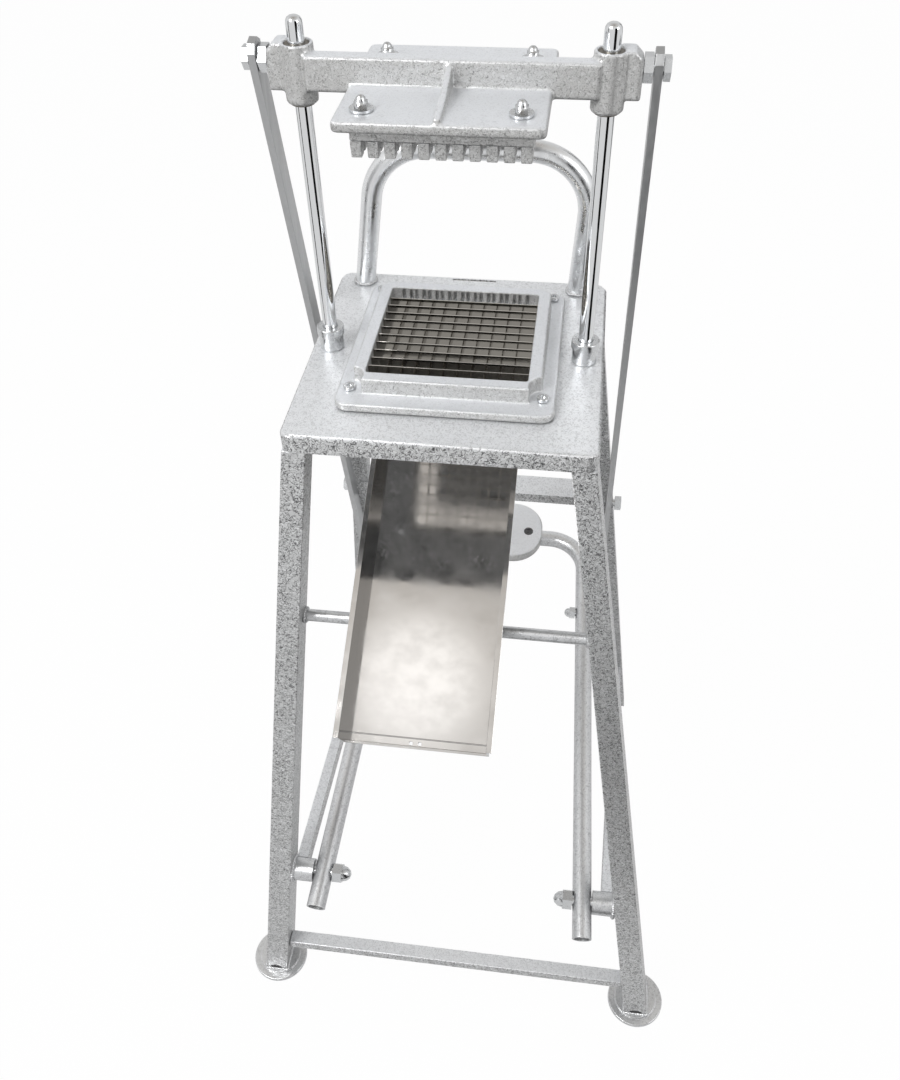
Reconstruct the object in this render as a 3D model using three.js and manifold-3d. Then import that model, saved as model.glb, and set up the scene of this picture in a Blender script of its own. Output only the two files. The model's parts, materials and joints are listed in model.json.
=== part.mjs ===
// Floor-standing french fry cutter worked by a foot pedal.
// Millimetres, +Z up, the floor at z = 0, +X to the right and +Y towards the back.

import * as THREE from 'three';
import { mergeVertices } from 'three/addons/utils/BufferGeometryUtils.js';
import Module from 'manifold-3d';

const wasm = await Module();
wasm.setup();

// Sizes shared by the whole machine
const tableHeight = 856;
const seatGap = 0.3;
const cutOverrun = 4;
const roundSides = 20;
const smallSides = 10;
const arcSteps = 3;
const edgeSteps = 1;
const bendSteps = 5;
const tubeSides = 12;

// Cutting grid
const bladePitch = 10;
const cellCount = 11;
const windowMargin = 1.5;
const windowHalf = bladePitch * cellCount / 2 + windowMargin;
const bladeThickness = 0.8;
const bladeHeight = 7.7;
const bladeReach = 5;
const bladeTopDrop = 2.6;
const bladeStrip = 1.2;
const layerGap = 0.3;

// Table tray
const trayHalfDepth = 110;
const trayLip = 14;
const traySheet = 3;
const trayCorner = 9;
const trayEdge = 2.4;
const hookSlotX = 1.5;
const hookSlotY = 104.8;
const hookSlotWidth = 35;
const hookSlotGap = 2.5;

// Blade frame
const frameHalfWidth = 76.5;
const frameHalfDepth = 80;
const frameBase = 7;
const frameCorner = 10;
const frameEdge = 1.2;
const rimHalf = 66;
const rimTop = 18.8;
const rimCorner = 4;
const skirtWall = 3;
const skirtDrop = 9;
const windowCorner = 2;
const screwPocket = 10.5;
const frameScrewX = 67.5;
const frameScrewFront = -61;
const frameScrewBack = 70.5;
const frameScrewRadius = 2.5;
const frameScrewHead = 4.4;
const frameScrewHeadHeight = 2.6;
const frameScrewTail = 12;

// Guide rods and their collars
const rodBeyondFrame = 17.2;
const trayBeyondRod = 14.8;
const rodX = frameHalfWidth + rodBeyondFrame;
const trayHalfWidth = rodX + trayBeyondRod;
const rodRadius = 5.25;
const rodTop = 229;
const rodTail = 22;
const rodTipRound = 4;
const rodTipSteps = 3;
const collarRadius = 10;
const collarHeight = 18;
const collarEdge = 1.2;
const rodNutAcross = 17;
const rodNutHeight = 8;

// Hoop behind the blade frame
const hoopLeftBase = { x: -87.5, z: -cutOverrun };
const hoopLeftTop = { x: -71, z: 112 };
const hoopRightTop = { x: 91.5, z: 112 };
const hoopRightBase = { x: 85, z: -cutOverrun };
const hoopY = 96.5;
const hoopBend = 45;
const hoopRadius = 8;
const hoopWall = 2;

// Crosshead casting, heights above its hub bottoms
const crossheadLift = 178;
const hubRadius = 10.2;
const hubHeight = 36.5;
const hubEdge = 2.5;
const bushWall = 2.2;
const bushRecess = 1;
const slideGap = 0.15;
const endBlockStart = 5.3;
const endBlockReach = 19.2;
const endBlockInner = rodX + endBlockStart;
const endBlockOuter = rodX + endBlockReach;
const endBlockFront = -5;
const endBlockBack = 12;
const endBlockLow = 8.5;
const endBlockChamfer = 5;
const beamInset = 5.7;
const beamHalf = rodX - beamInset;
const beamFront = 11.5;
const beamBack = 0.5;
const beamLow = 10.7;
const beamHigh = 31.8;
const beamEdge = 2;
const plateHalfWidth = 61.5;
const plateFront = -67;
const plateBack = 62;
const plateLow = 9.3;
const plateHigh = 16;
const plateCorner = 4;
const plateEdge = 1.2;
const ribThickness = 4;
const ribToe = 3;
const ribSteps = 6;
const rearRibInset = 24;

// Pusher block
const postWidth = 7;
const postTaper = 0.5;
const pusherDepth = 19.3;
const postLength = 10;
const studX = 46;
const studFront = -48.7;
const studBack = 38;
const studRadius = 2.5;
const studSeat = 3;
const washerRadius = 7.2;
const washerHeight = 1.5;
const capAcross = 7.4;
const capHexHeight = 3.6;
const capDomeHeight = 3.6;
const domeShare = 0.9;
const domeSteps = 3;

// Link bars and their bolts
const linkPinDrop = 25;
const linkPinY = 5;
const linkWidth = 16;
const linkThickness = 5;
const linkTopReach = 11.5;
const linkTopChamfer = 4.5;
const linkBoltRadius = 4;
const linkBoltSeat = 8;
const linkNutAcross = 15;
const linkNutHeight = 5.5;
const linkHeadAcross = 13;
const linkHeadHeight = 4.2;
const linkSideGap = 0.6;
const linkShoulderGap = 1;
const linkShoulderLength = 1.25;
const linkShoulderRadius = 7;
const linkCapAcross = 13;
const linkCapHexHeight = 7;
const linkCapDomeHeight = 6.5;

// Pedal, measured in its own plane from the pivot axis
const pivotDrop = 612;
const pivotY = -116;
const pedalPitch = THREE.MathUtils.degToRad(12.08);
const pinRadius = 353.8;
const pivotBossLength = 24.28;
const pedalHalfAtPin = 126;
const pedalFront = 39;
const pedalBack = 464;
const pedalBend = 47;
const pedalRadius = 10.25;
const pedalWall = 2;
const pinSlotTravel = 8.8;
const pinSlotGap = 1.1;
const padHalfWidth = 65;
const padHalfDepth = 43;
const padCorner = 38;
const padTop = 14.5;
const padBottom = -1.5;
const padEdge = 3;
const padShift = 2;
const padScrewX = 47;
const padScrewRadius = 3;
const padScrewHead = 6;
const padScrewSink = 3;
const padScrewTail = 22;

// Pedal pivots
const pivotBossRadius = 12.5;
const pivotBoltRadius = 6;
const pivotCapAcross = 19;
const pivotCapHexHeight = 10;
const pivotCapDomeHeight = 10;
const pivotCapBore = 14;

// Front legs and feet
const footRadius = 33;
const footPlate = 5;
const footRingRadius = 25;
const footRingHeight = 2;
const footEdge = 1;
const frontLegTop = { x: 99, y: -97, width: 17.4, depth: 24 };
const frontLegSplayShare = 0.15095;
const frontLegRakeShare = -0.02396;
const frontLegWidthShare = 0.0115;
const frontLegDepthShare = 0.01917;
const legSheet = 2;
const legArch = 8;

// Rear legs, measured at the tray lip, with what they gain for each millimetre of drop
const rearLegOuter = 106;
const rearLegFront = 92;
const rearLegSplayShare = 0.123;
const rearLegRakeShare = 0.279;
const rearLegWidth = 17;
const rearLegDepth = 18;
const rearLegSheet = 1.6;

// Bars between the legs
const frontBarLevel = 66;
const frontBarHeight = 14;
const frontBarDepth = 16;
const frontBarY = -121;
const sideBarWidth = 12;
const sideBarHeight = 18;
const sideBarFrontX = 168;
const sideBarBackShare = 0.5574;
const chuteRodRadius = 5;
const chuteRodY = -97;
const chuteRodDrop = 198.5;

// Rear rail and its bolts
const railDrop = 297;
const railBehindLeg = 1.04;
const railDepth = 30;
const railSheet = 3;
const railLip = 11;
const railEarLead = 14;
const railEarHeight = 18;
const railEarSheet = 4;
const railBoltRadius = 4;
const railBoltLead = 6.5;
const railNutAcross = 13;
const railNutHeight = 6.5;

// Chute
const chuteSlope = THREE.MathUtils.degToRad(28);
const chuteX = -12;
const chuteHalf = 60.5;
const chuteWallHeight = 28;
const chuteSheet = 1.2;
const chuteHem = 3;
const chuteEndHem = 8;
const chuteReach = 100;
const chuteHoleRadius = 1.6;
const chuteHoleX = -4;
const chuteHolePitch = 7;
const hookTabWidth = 33;
const hookTabDrop = 0.6;

// Finishes
const hammertone = { color: 0xa9abac, roughness: 0.45, metalness: 0.6 };
const silverPaint = { color: 0xb9babb, roughness: 0.4, metalness: 0.6 };
const castAluminium = { color: 0xc6c7c8, roughness: 0.55, metalness: 0.8 };
const chromePlate = { color: 0xdadcde, roughness: 0.08, metalness: 1 };
const zincPlate = { color: 0xb4b5b6, roughness: 0.3, metalness: 0.95 };
const plainSteel = { color: 0x8f9092, roughness: 0.4, metalness: 0.9 };
const bladeSteel = { color: 0xc9cbcd, roughness: 0.2, metalness: 1 };
const polishedSteel = { color: 0xd5d6d6, roughness: 0.12, metalness: 1 };
const bronze = { color: 0x9c8558, roughness: 0.4, metalness: 0.9 };

// Meshes and solids
function closedMesh(geometry) {
  const bare = geometry.clone();
  bare.deleteAttribute('normal');
  bare.deleteAttribute('uv');
  const merged = mergeVertices(bare);
  const place = merged.attributes.position;
  const corners = merged.index.array;
  const a = new THREE.Vector3();
  const b = new THREE.Vector3();
  const c = new THREE.Vector3();
  let volume = 0;
  const kept = [];
  for (let i = 0; i < corners.length; i += 3) {
    a.fromBufferAttribute(place, corners[i]);
    b.fromBufferAttribute(place, corners[i + 1]);
    c.fromBufferAttribute(place, corners[i + 2]);
    volume += a.dot(b.cross(c));
    const [p, q, r] = [corners[i], corners[i + 1], corners[i + 2]];
    if (p !== q && q !== r && r !== p) kept.push(p, q, r);
  }
  if (volume < 0) kept.reverse();
  merged.setIndex(kept);
  return merged;
}

function solid(shape) {
  if (!shape.isBufferGeometry) return shape;
  const merged = closedMesh(shape);
  return new wasm.Manifold(new wasm.Mesh({
    numProp: 3,
    vertProperties: new Float32Array(merged.attributes.position.array),
    triVerts: new Uint32Array(merged.index.array),
  }));
}

function join(first, ...others) {
  return others.reduce((whole, next) => whole.add(solid(next)), solid(first));
}

function cut(body, ...tools) {
  return tools.reduce((rest, tool) => rest.subtract(solid(tool)), solid(body));
}

function meshOf(shape) {
  if (shape.isBufferGeometry) return closedMesh(shape);
  const result = shape.getMesh();
  const geometry = new THREE.BufferGeometry();
  geometry.setAttribute('position', new THREE.BufferAttribute(result.vertProperties, 3));
  geometry.setIndex(new THREE.BufferAttribute(result.triVerts, 1));
  return geometry;
}

// Right-hand pieces are built first, and the left-hand ones are their mirror images
function handed(shape, side) {
  const geometry = meshOf(shape).clone();
  if (side > 0) return geometry;
  geometry.scale(-1, 1, 1);
  return closedMesh(geometry);
}

function piece(parent, name, shape, finish) {
  const mesh = new THREE.Mesh(meshOf(shape), new THREE.MeshStandardMaterial(finish));
  mesh.name = name;
  parent.add(mesh);
}

const bothSides = [['left', -1], ['right', 1]];
const bothEnds = [['front', studFront], ['back', studBack]];

// Plain forms
function block(x0, x1, y0, y1, z0, z1) {
  const geometry = new THREE.BoxGeometry(Math.abs(x1 - x0), Math.abs(y1 - y0), Math.abs(z1 - z0));
  return geometry.translate((x0 + x1) / 2, (y0 + y1) / 2, (z0 + z1) / 2);
}

function bar(radius, low, high, sides = roundSides) {
  const geometry = new THREE.CylinderGeometry(radius, radius, high - low, sides);
  return geometry.rotateX(Math.PI / 2).translate(0, 0, (low + high) / 2);
}

function hexBar(acrossFlats, low, high) {
  return bar(acrossFlats / Math.sqrt(3), low, high, 6);
}

function turned(profile, sides = roundSides) {
  const points = profile.map(([radius, height]) => new THREE.Vector2(radius, height));
  return new THREE.LatheGeometry(points, sides).rotateX(Math.PI / 2);
}

function alongX(geometry) {
  return geometry.rotateY(Math.PI / 2);
}

function roundedRectangle(halfWidth, halfDepth, corner) {
  const shape = new THREE.Shape();
  const x = halfWidth - corner;
  const y = halfDepth - corner;
  const quarter = Math.PI / 2;
  shape.moveTo(-x, -halfDepth);
  shape.absarc(x, -y, corner, -quarter, 0, false);
  shape.absarc(x, y, corner, 0, quarter, false);
  shape.absarc(-x, y, corner, quarter, 2 * quarter, false);
  shape.absarc(-x, -y, corner, 2 * quarter, 3 * quarter, false);
  return shape;
}

function slab(shape, low, high, edge = 0, steps = arcSteps) {
  const geometry = new THREE.ExtrudeGeometry(shape, {
    depth: high - low - 2 * edge,
    curveSegments: steps,
    bevelEnabled: edge > 0,
    bevelThickness: edge,
    bevelSize: edge,
    bevelOffset: -edge,
    bevelSegments: edgeSteps,
  });
  return geometry.translate(0, 0, low + edge);
}

// A straight bar whose lower and upper ends have their own place and size
function taperedBar(low, high) {
  const geometry = new THREE.BoxGeometry(1, 1, 1);
  const corners = geometry.attributes.position;
  for (let i = 0; i < corners.count; i += 1) {
    const end = corners.getZ(i) < 0 ? low : high;
    const x = end.x + corners.getX(i) * end.width;
    const y = end.y + corners.getY(i) * end.depth;
    corners.setXYZ(i, x, y, end.z);
  }
  return geometry;
}

function sectionAt(low, high, z, grow = 0) {
  const share = (z - low.z) / (high.z - low.z);
  const blend = (key) => low[key] + (high[key] - low[key]) * share;
  const width = blend('width') + 2 * grow;
  const depth = blend('depth') + 2 * grow;
  return { x: blend('x'), y: blend('y'), z, width, depth };
}

function legBetween(low, high, z0, z1, grow = 0) {
  return taperedBar(sectionAt(low, high, z0, grow), sectionAt(low, high, z1, grow));
}

// A route with round corners, and a tube that follows it
function roundedRoute(corners, radius) {
  const route = [corners[0]];
  for (let i = 1; i < corners.length - 1; i += 1) {
    const back = corners[i - 1].clone().sub(corners[i]).normalize();
    const ahead = corners[i + 1].clone().sub(corners[i]).normalize();
    const inside = back.angleTo(ahead);
    const turn = Math.PI - inside;
    const reach = radius / Math.tan(inside / 2);
    const middle = back.clone().add(ahead).normalize();
    const centre = corners[i].clone().addScaledVector(middle, radius / Math.sin(inside / 2));
    const from = corners[i].clone().addScaledVector(back, reach).sub(centre);
    const to = corners[i].clone().addScaledVector(ahead, reach).sub(centre);
    for (let k = 0; k <= bendSteps; k += 1) {
      const share = k / bendSteps;
      const point = from.clone().multiplyScalar(Math.sin((1 - share) * turn) / Math.sin(turn));
      point.addScaledVector(to, Math.sin(share * turn) / Math.sin(turn));
      route.push(point.add(centre));
    }
  }
  route.push(corners[corners.length - 1]);
  return route;
}

class StationCurve extends THREE.Curve {
  constructor(stations) {
    super();
    this.stations = stations;
  }

  getPoint(share) {
    const place = share * (this.stations.length - 1);
    const index = Math.min(Math.floor(place), this.stations.length - 2);
    return this.stations[index].clone().lerp(this.stations[index + 1], place - index);
  }

  getPointAt(share) {
    return this.getPoint(share);
  }

  getTangentAt(share) {
    const last = this.stations.length - 1;
    const index = Math.round(share * last);
    const here = this.stations[index];
    const arriving = here.clone().sub(this.stations[Math.max(index - 1, 0)]).normalize();
    const leaving = this.stations[Math.min(index + 1, last)].clone().sub(here).normalize();
    return arriving.add(leaving).normalize();
  }
}

function bentTube(stations, radius, wall) {
  const ring = new THREE.Shape();
  ring.absarc(0, 0, radius, 0, 2 * Math.PI, false);
  const bore = new THREE.Path();
  bore.absarc(0, 0, radius - wall, 0, 2 * Math.PI, true);
  ring.holes.push(bore);
  return new THREE.ExtrudeGeometry(ring, {
    steps: stations.length - 1,
    curveSegments: tubeSides / 2,
    extrudePath: new StationCurve(stations),
  });
}

// Fasteners, all made upright with the seat at the given height
function domedHead(seat, across, hexHeight, domeHeight) {
  const hexTop = seat + hexHeight;
  const domeRadius = across * domeShare / 2;
  const profile = [[0, hexTop - hexHeight / 2]];
  for (let k = 0; k <= domeSteps; k += 1) {
    const angle = Math.PI / 2 * k / domeSteps;
    profile.push([domeRadius * Math.cos(angle), hexTop + domeHeight * Math.sin(angle)]);
  }
  profile.splice(1, 0, [domeRadius, hexTop - hexHeight / 2]);
  profile[profile.length - 1][0] = 0;
  return join(hexBar(across, seat, hexTop), turned(profile, smallSides));
}

function capNut(across, hexHeight, domeHeight, boreRadius, boreDepth) {
  const bore = bar(boreRadius, -cutOverrun, boreDepth, smallSides);
  return cut(domedHead(0, across, hexHeight, domeHeight), bore);
}

const cutter = new THREE.Group();
const stand = new THREE.Group();
cutter.add(stand);
const table = new THREE.Group();
table.position.z = tableHeight;
cutter.add(table);

// Table tray, pressed from sheet
const skirtHalf = windowHalf + skirtWall;
const rodHole = rodRadius + seatGap;
const frameScrews = [
  ['front_left', -frameScrewX, frameScrewFront],
  ['front_right', frameScrewX, frameScrewFront],
  ['back_left', -frameScrewX, frameScrewBack],
  ['back_right', frameScrewX, frameScrewBack],
];

const trayOutline = roundedRectangle(trayHalfWidth, trayHalfDepth, trayCorner);
const trayInnerWidth = trayHalfWidth - traySheet;
const trayInnerDepth = trayHalfDepth - traySheet;
const trayInside = roundedRectangle(trayInnerWidth, trayInnerDepth, trayCorner - traySheet);
let tray = solid(slab(trayOutline, -2 * trayLip, 0, trayEdge));
const trayBounds = block(-trayHalfWidth, trayHalfWidth, -trayHalfDepth, trayHalfDepth, -trayLip, 0);
tray = tray.intersect(solid(trayBounds));
tray = cut(tray, slab(trayInside, -2 * trayLip, -traySheet));
const trayOpening = roundedRectangle(skirtHalf + seatGap, skirtHalf + seatGap, windowCorner + skirtWall);
tray = cut(tray, slab(trayOpening, -trayLip, cutOverrun));
for (const side of [-1, 1]) {
  tray = cut(tray, bar(rodHole, -trayLip, cutOverrun).translate(side * rodX, 0, 0));
}
for (const [, x, y] of frameScrews) {
  tray = cut(tray, bar(frameScrewRadius + seatGap, -trayLip, cutOverrun, smallSides).translate(x, y, 0));
}
const slotLeft = hookSlotX - hookSlotWidth / 2;
const slotRight = hookSlotX + hookSlotWidth / 2;
const slotFront = hookSlotY - hookSlotGap / 2;
const slotBack = hookSlotY + hookSlotGap / 2;
tray = cut(tray, block(slotLeft, slotRight, slotFront, slotBack, -trayLip, cutOverrun));
piece(table, 'table_top', tray, hammertone);

// Blade frame, a casting with a raised rim round the window
const frameSeat = seatGap;
const windowShape = roundedRectangle(windowHalf, windowHalf, windowCorner);
const bladeTop = rimTop - bladeTopDrop;
const upperLow = bladeTop - bladeHeight;
const lowerHigh = upperLow - layerGap;
const lowerLow = lowerHigh - bladeHeight;
let frame = join(
  slab(roundedRectangle(frameHalfWidth, frameHalfDepth, frameCorner), frameSeat, frameBase, frameEdge),
  slab(roundedRectangle(rimHalf, rimHalf, rimCorner), frameBase - frameEdge, rimTop, frameEdge),
  slab(roundedRectangle(skirtHalf, skirtHalf, windowCorner + skirtWall), -skirtDrop, frameBase - frameEdge),
);
frame = cut(frame, slab(windowShape, -skirtDrop - cutOverrun, rimTop + cutOverrun));
for (const [, x, y] of frameScrews) {
  frame = cut(
    frame,
    bar(frameScrewRadius + seatGap, -cutOverrun, rimTop, smallSides).translate(x, y, 0),
    bar(screwPocket, frameBase, rimTop + cutOverrun).translate(x, y, 0),
  );
}

// Blades of the upper layer run from side to side, those of the lower layer from front to back
const bladeHalfLength = windowHalf + bladeReach;
const slotHalf = bladeThickness / 2 + seatGap;
const slotEnd = bladeHalfLength + seatGap;
for (let i = 1; i < cellCount; i += 1) {
  const place = (i - cellCount / 2) * bladePitch;
  frame = cut(
    frame,
    block(-slotEnd, slotEnd, place - slotHalf, place + slotHalf, upperLow - seatGap, bladeTop + seatGap),
    block(place - slotHalf, place + slotHalf, -slotEnd, slotEnd, lowerLow - seatGap, lowerHigh + seatGap),
  );
}

// A strip along the ends of each layer holds its blades together inside the frame
const stripHalf = bladePitch * (cellCount - 2) / 2 + bladeThickness / 2;
const stripInner = bladeHalfLength - bladeStrip;
const pocketHalf = stripHalf + seatGap;
const pocketInner = stripInner - seatGap;
for (const side of [-1, 1]) {
  const near = side * pocketInner;
  const far = side * slotEnd;
  frame = cut(
    frame,
    block(near, far, -pocketHalf, pocketHalf, upperLow - seatGap, bladeTop + seatGap),
    block(-pocketHalf, pocketHalf, near, far, lowerLow - seatGap, lowerHigh + seatGap),
  );
}
piece(table, 'blade_frame', frame, castAluminium);

function bladeLayer(low, high) {
  const spaces = [];
  for (let i = 1; i < cellCount - 1; i += 1) {
    const near = (i - cellCount / 2) * bladePitch + bladeThickness / 2;
    const far = near + bladePitch - bladeThickness;
    spaces.push(block(near, far, -stripInner, stripInner, low - cutOverrun, high + cutOverrun));
  }
  return meshOf(cut(block(-stripHalf, stripHalf, -bladeHalfLength, bladeHalfLength, low, high), ...spaces));
}
piece(table, 'blades_across', bladeLayer(upperLow, bladeTop).rotateZ(Math.PI / 2), bladeSteel);
piece(table, 'blades_along', bladeLayer(lowerLow, lowerHigh), bladeSteel);

const screwSeat = frameBase + seatGap;
const screwHeadTop = screwSeat + frameScrewHeadHeight;
const frameScrewProfile = [
  [0, -frameScrewTail],
  [frameScrewRadius, -frameScrewTail],
  [frameScrewRadius, screwSeat],
  [frameScrewHead, screwSeat],
  [frameScrewHead, screwSeat + frameScrewHeadHeight / 2],
  [frameScrewHead / 2, screwHeadTop],
  [0, screwHeadTop],
];
for (const [name, x, y] of frameScrews) {
  piece(table, `frame_screw_${name}`, turned(frameScrewProfile, smallSides).translate(x, y, 0), zincPlate);
}

// Guide rods with a stop collar on the table and a nut under it
const rodProfile = [
  [0, -rodTail],
  [rodRadius, -rodTail],
];
for (let k = 0; k <= rodTipSteps; k += 1) {
  const angle = Math.PI / 2 * k / rodTipSteps;
  const inset = rodTipRound * (1 - Math.cos(angle));
  rodProfile.push([rodRadius - inset, rodTop - rodTipRound * (1 - Math.sin(angle))]);
}
rodProfile.push([0, rodTop]);
const collarBore = rodRadius + slideGap;
const collarProfile = [
  [collarBore, seatGap],
  [collarRadius, seatGap],
  [collarRadius, collarHeight - collarEdge],
  [collarRadius - collarEdge, collarHeight],
  [collarBore, collarHeight],
  [collarBore, seatGap],
];
const rodNutTop = -traySheet - seatGap;
for (const [name, side] of bothSides) {
  const rod = turned(rodProfile).translate(side * rodX, 0, 0);
  const collar = turned(collarProfile).translate(side * rodX, 0, 0);
  piece(table, `guide_rod_${name}`, rod, chromePlate);
  piece(table, `rod_collar_${name}`, collar, zincPlate);
  const nut = cut(hexBar(rodNutAcross, rodNutTop - rodNutHeight, rodNutTop), bar(rodHole, -2 * rodTail, 0));
  piece(table, `rod_nut_${name}`, nut.translate([side * rodX, 0, 0]), zincPlate);
}

// Hoop of bent tube
const hoopCorners = [hoopLeftBase, hoopLeftTop, hoopRightTop, hoopRightBase];
const hoopRoute = roundedRoute(hoopCorners.map(({ x, z }) => new THREE.Vector3(x, hoopY, z)), hoopBend);
const hoopSeat = block(-trayHalfWidth, trayHalfWidth, 0, trayHalfDepth, -trayLip, seatGap);
piece(table, 'hoop', cut(bentTube(hoopRoute, hoopRadius, hoopWall), hoopSeat), chromePlate);

// Crosshead casting: two hubs, a beam, the plate over the pusher and its ribs
const crosshead = new THREE.Group();
crosshead.position.z = tableHeight + crossheadLift;
cutter.add(crosshead);

const bushInner = rodRadius + slideGap;
const bushOuter = bushInner + bushWall;
const hubBore = bushOuter + seatGap;
const hubProfile = [
  [0, 0],
  [hubRadius - hubEdge, 0],
  [hubRadius, hubEdge],
  [hubRadius, hubHeight],
  [0, hubHeight],
];
const endBlockShape = new THREE.Shape();
endBlockShape.moveTo(endBlockInner, endBlockLow);
endBlockShape.lineTo(endBlockOuter, endBlockLow);
endBlockShape.lineTo(endBlockOuter, hubHeight - endBlockChamfer);
endBlockShape.lineTo(endBlockOuter - endBlockChamfer, hubHeight);
endBlockShape.lineTo(endBlockInner, hubHeight);
endBlockShape.closePath();
const endBlock = slab(endBlockShape, -endBlockBack, -endBlockFront, plateEdge);
endBlock.rotateX(Math.PI / 2);

function ribOutline(start, end) {
  const shape = new THREE.Shape();
  const rise = beamHigh - beamEdge - plateHigh;
  shape.moveTo(start, plateLow + plateEdge);
  for (let k = 0; k <= ribSteps; k += 1) {
    const share = k / ribSteps;
    const fall = (1 - share) ** 2;
    shape.lineTo(start + (end - start) * share, plateHigh + ribToe + (rise - ribToe) * fall);
  }
  shape.lineTo(end, plateLow + plateEdge);
  shape.closePath();
  return shape;
}

function ribBetween(start, end) {
  const rib = slab(ribOutline(start, end), -ribThickness / 2, ribThickness / 2);
  return rib.rotateX(Math.PI / 2).rotateZ(Math.PI / 2);
}

const beamMiddle = (beamBack - beamFront) / 2;
const beamDepth = (beamBack + beamFront) / 2;
const beamShape = roundedRectangle(beamDepth, (beamHigh - beamLow) / 2, beamEdge);
const beam = alongX(slab(beamShape, -beamHalf, beamHalf).rotateZ(Math.PI / 2));
beam.translate(0, beamMiddle, (beamHigh + beamLow) / 2);
const plateShape = roundedRectangle(plateHalfWidth, (plateBack - plateFront) / 2, plateCorner);
const plate = slab(plateShape, plateLow, plateHigh, plateEdge).translate(0, (plateFront + plateBack) / 2, 0);
let casting = join(
  plate,
  beam,
  ribBetween(-beamFront + beamEdge, plateFront + plateEdge),
  ribBetween(beamBack - beamEdge, plateBack - rearRibInset),
);
for (const [, side] of bothSides) {
  casting = join(
    casting,
    turned(hubProfile).translate(side * rodX, 0, 0),
    handed(endBlock, side),
  );
}
for (const side of [-1, 1]) {
  const boltHoleStart = endBlockOuter - linkBoltSeat;
  const boltHole = alongX(bar(linkBoltRadius + seatGap, boltHoleStart, endBlockOuter + cutOverrun));
  boltHole.translate(0, linkPinY, linkPinDrop);
  const hubHole = bar(hubBore, -cutOverrun, hubHeight + cutOverrun).translate(side * rodX, 0, 0);
  casting = cut(casting, handed(boltHole, side), hubHole);
  for (const [, studY] of bothEnds) {
    const studHole = bar(studRadius + seatGap, 0, hubHeight, smallSides);
    casting = cut(casting, studHole.translate(side * studX, studY, 0));
  }
}
piece(crosshead, 'crosshead', casting, castAluminium);

for (const [name, side] of bothSides) {
  const bush = turned([
    [bushInner, seatGap],
    [bushOuter, seatGap],
    [bushOuter, hubHeight - bushRecess],
    [bushInner, hubHeight - bushRecess],
    [bushInner, seatGap],
  ]);
  piece(crosshead, `guide_bush_${name}`, bush.translate(side * rodX, 0, 0), bronze);
}

// Pusher block with square posts, hung from the plate by four domed bolts with washers
const pusherTop = plateLow - seatGap;
const postTip = plateLow - pusherDepth;
const postRoot = postTip + postLength;
const pusherHalf = bladePitch * (cellCount - 1) / 2 + postWidth / 2;
const posts = [];
for (let i = 0; i < cellCount; i += 1) {
  for (let k = 0; k < cellCount; k += 1) {
    const x = (i - (cellCount - 1) / 2) * bladePitch;
    const y = (k - (cellCount - 1) / 2) * bladePitch;
    const tip = { x, y, z: postTip, width: postWidth - postTaper, depth: postWidth - postTaper };
    const root = { x, y, z: postRoot + seatGap, width: postWidth, depth: postWidth };
    posts.push(solid(taperedBar(tip, root)));
  }
}
let pusher = join(block(-pusherHalf, pusherHalf, -pusherHalf, pusherHalf, postRoot, pusherTop), ...posts);
const studLow = pusherTop - studSeat;
const washerSeat = plateHigh + seatGap;
const capSeat = washerSeat + washerHeight;
const studHoleRadius = studRadius + seatGap;
const domedBolt = join(
  bar(studRadius, studLow, capSeat + capHexHeight, smallSides),
  bar(washerRadius, washerSeat, capSeat),
  domedHead(capSeat, capAcross, capHexHeight, capDomeHeight),
);
for (const [sideName, side] of bothSides) {
  for (const [endName, y] of bothEnds) {
    const x = side * studX;
    const name = `${endName}_${sideName}`;
    pusher = cut(pusher, bar(studHoleRadius, studLow - seatGap, plateHigh, smallSides).translate(x, y, 0));
    piece(crosshead, `pusher_bolt_${name}`, domedBolt.translate([x, y, 0]), zincPlate);
  }
}
piece(crosshead, 'pusher_block', pusher, castAluminium);

// Bolts that carry the link bars at the crosshead
const linkNutInner = endBlockOuter + seatGap;
const linkNutOuter = linkNutInner + linkNutHeight;
const linkUpperX = linkNutOuter + linkSideGap + linkThickness / 2;
const linkHeadSeat = linkUpperX + linkThickness / 2 + linkSideGap;
const linkNut = cut(
  hexBar(linkNutAcross, linkNutInner, linkNutOuter),
  bar(linkBoltRadius + seatGap, linkNutInner - cutOverrun, linkNutOuter + cutOverrun, smallSides),
);
const linkBolt = join(
  bar(linkBoltRadius, endBlockOuter - linkBoltSeat + seatGap, linkHeadSeat + linkHeadHeight / 2, smallSides),
  hexBar(linkHeadAcross, linkHeadSeat, linkHeadSeat + linkHeadHeight),
);
for (const [name, side] of bothSides) {
  const bolt = alongX(meshOf(linkBolt)).translate(0, linkPinY, linkPinDrop);
  const nut = alongX(meshOf(linkNut)).translate(0, linkPinY, linkPinDrop);
  piece(crosshead, `link_top_bolt_${name}`, handed(bolt, side), zincPlate);
  piece(crosshead, `link_top_nut_${name}`, handed(nut, side), zincPlate);
}

// Pedal: a U of tube that rises towards the back
const pedal = new THREE.Group();
pedal.position.set(0, pivotY, tableHeight - pivotDrop);
pedal.rotation.x = pedalPitch;
cutter.add(pedal);

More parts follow.
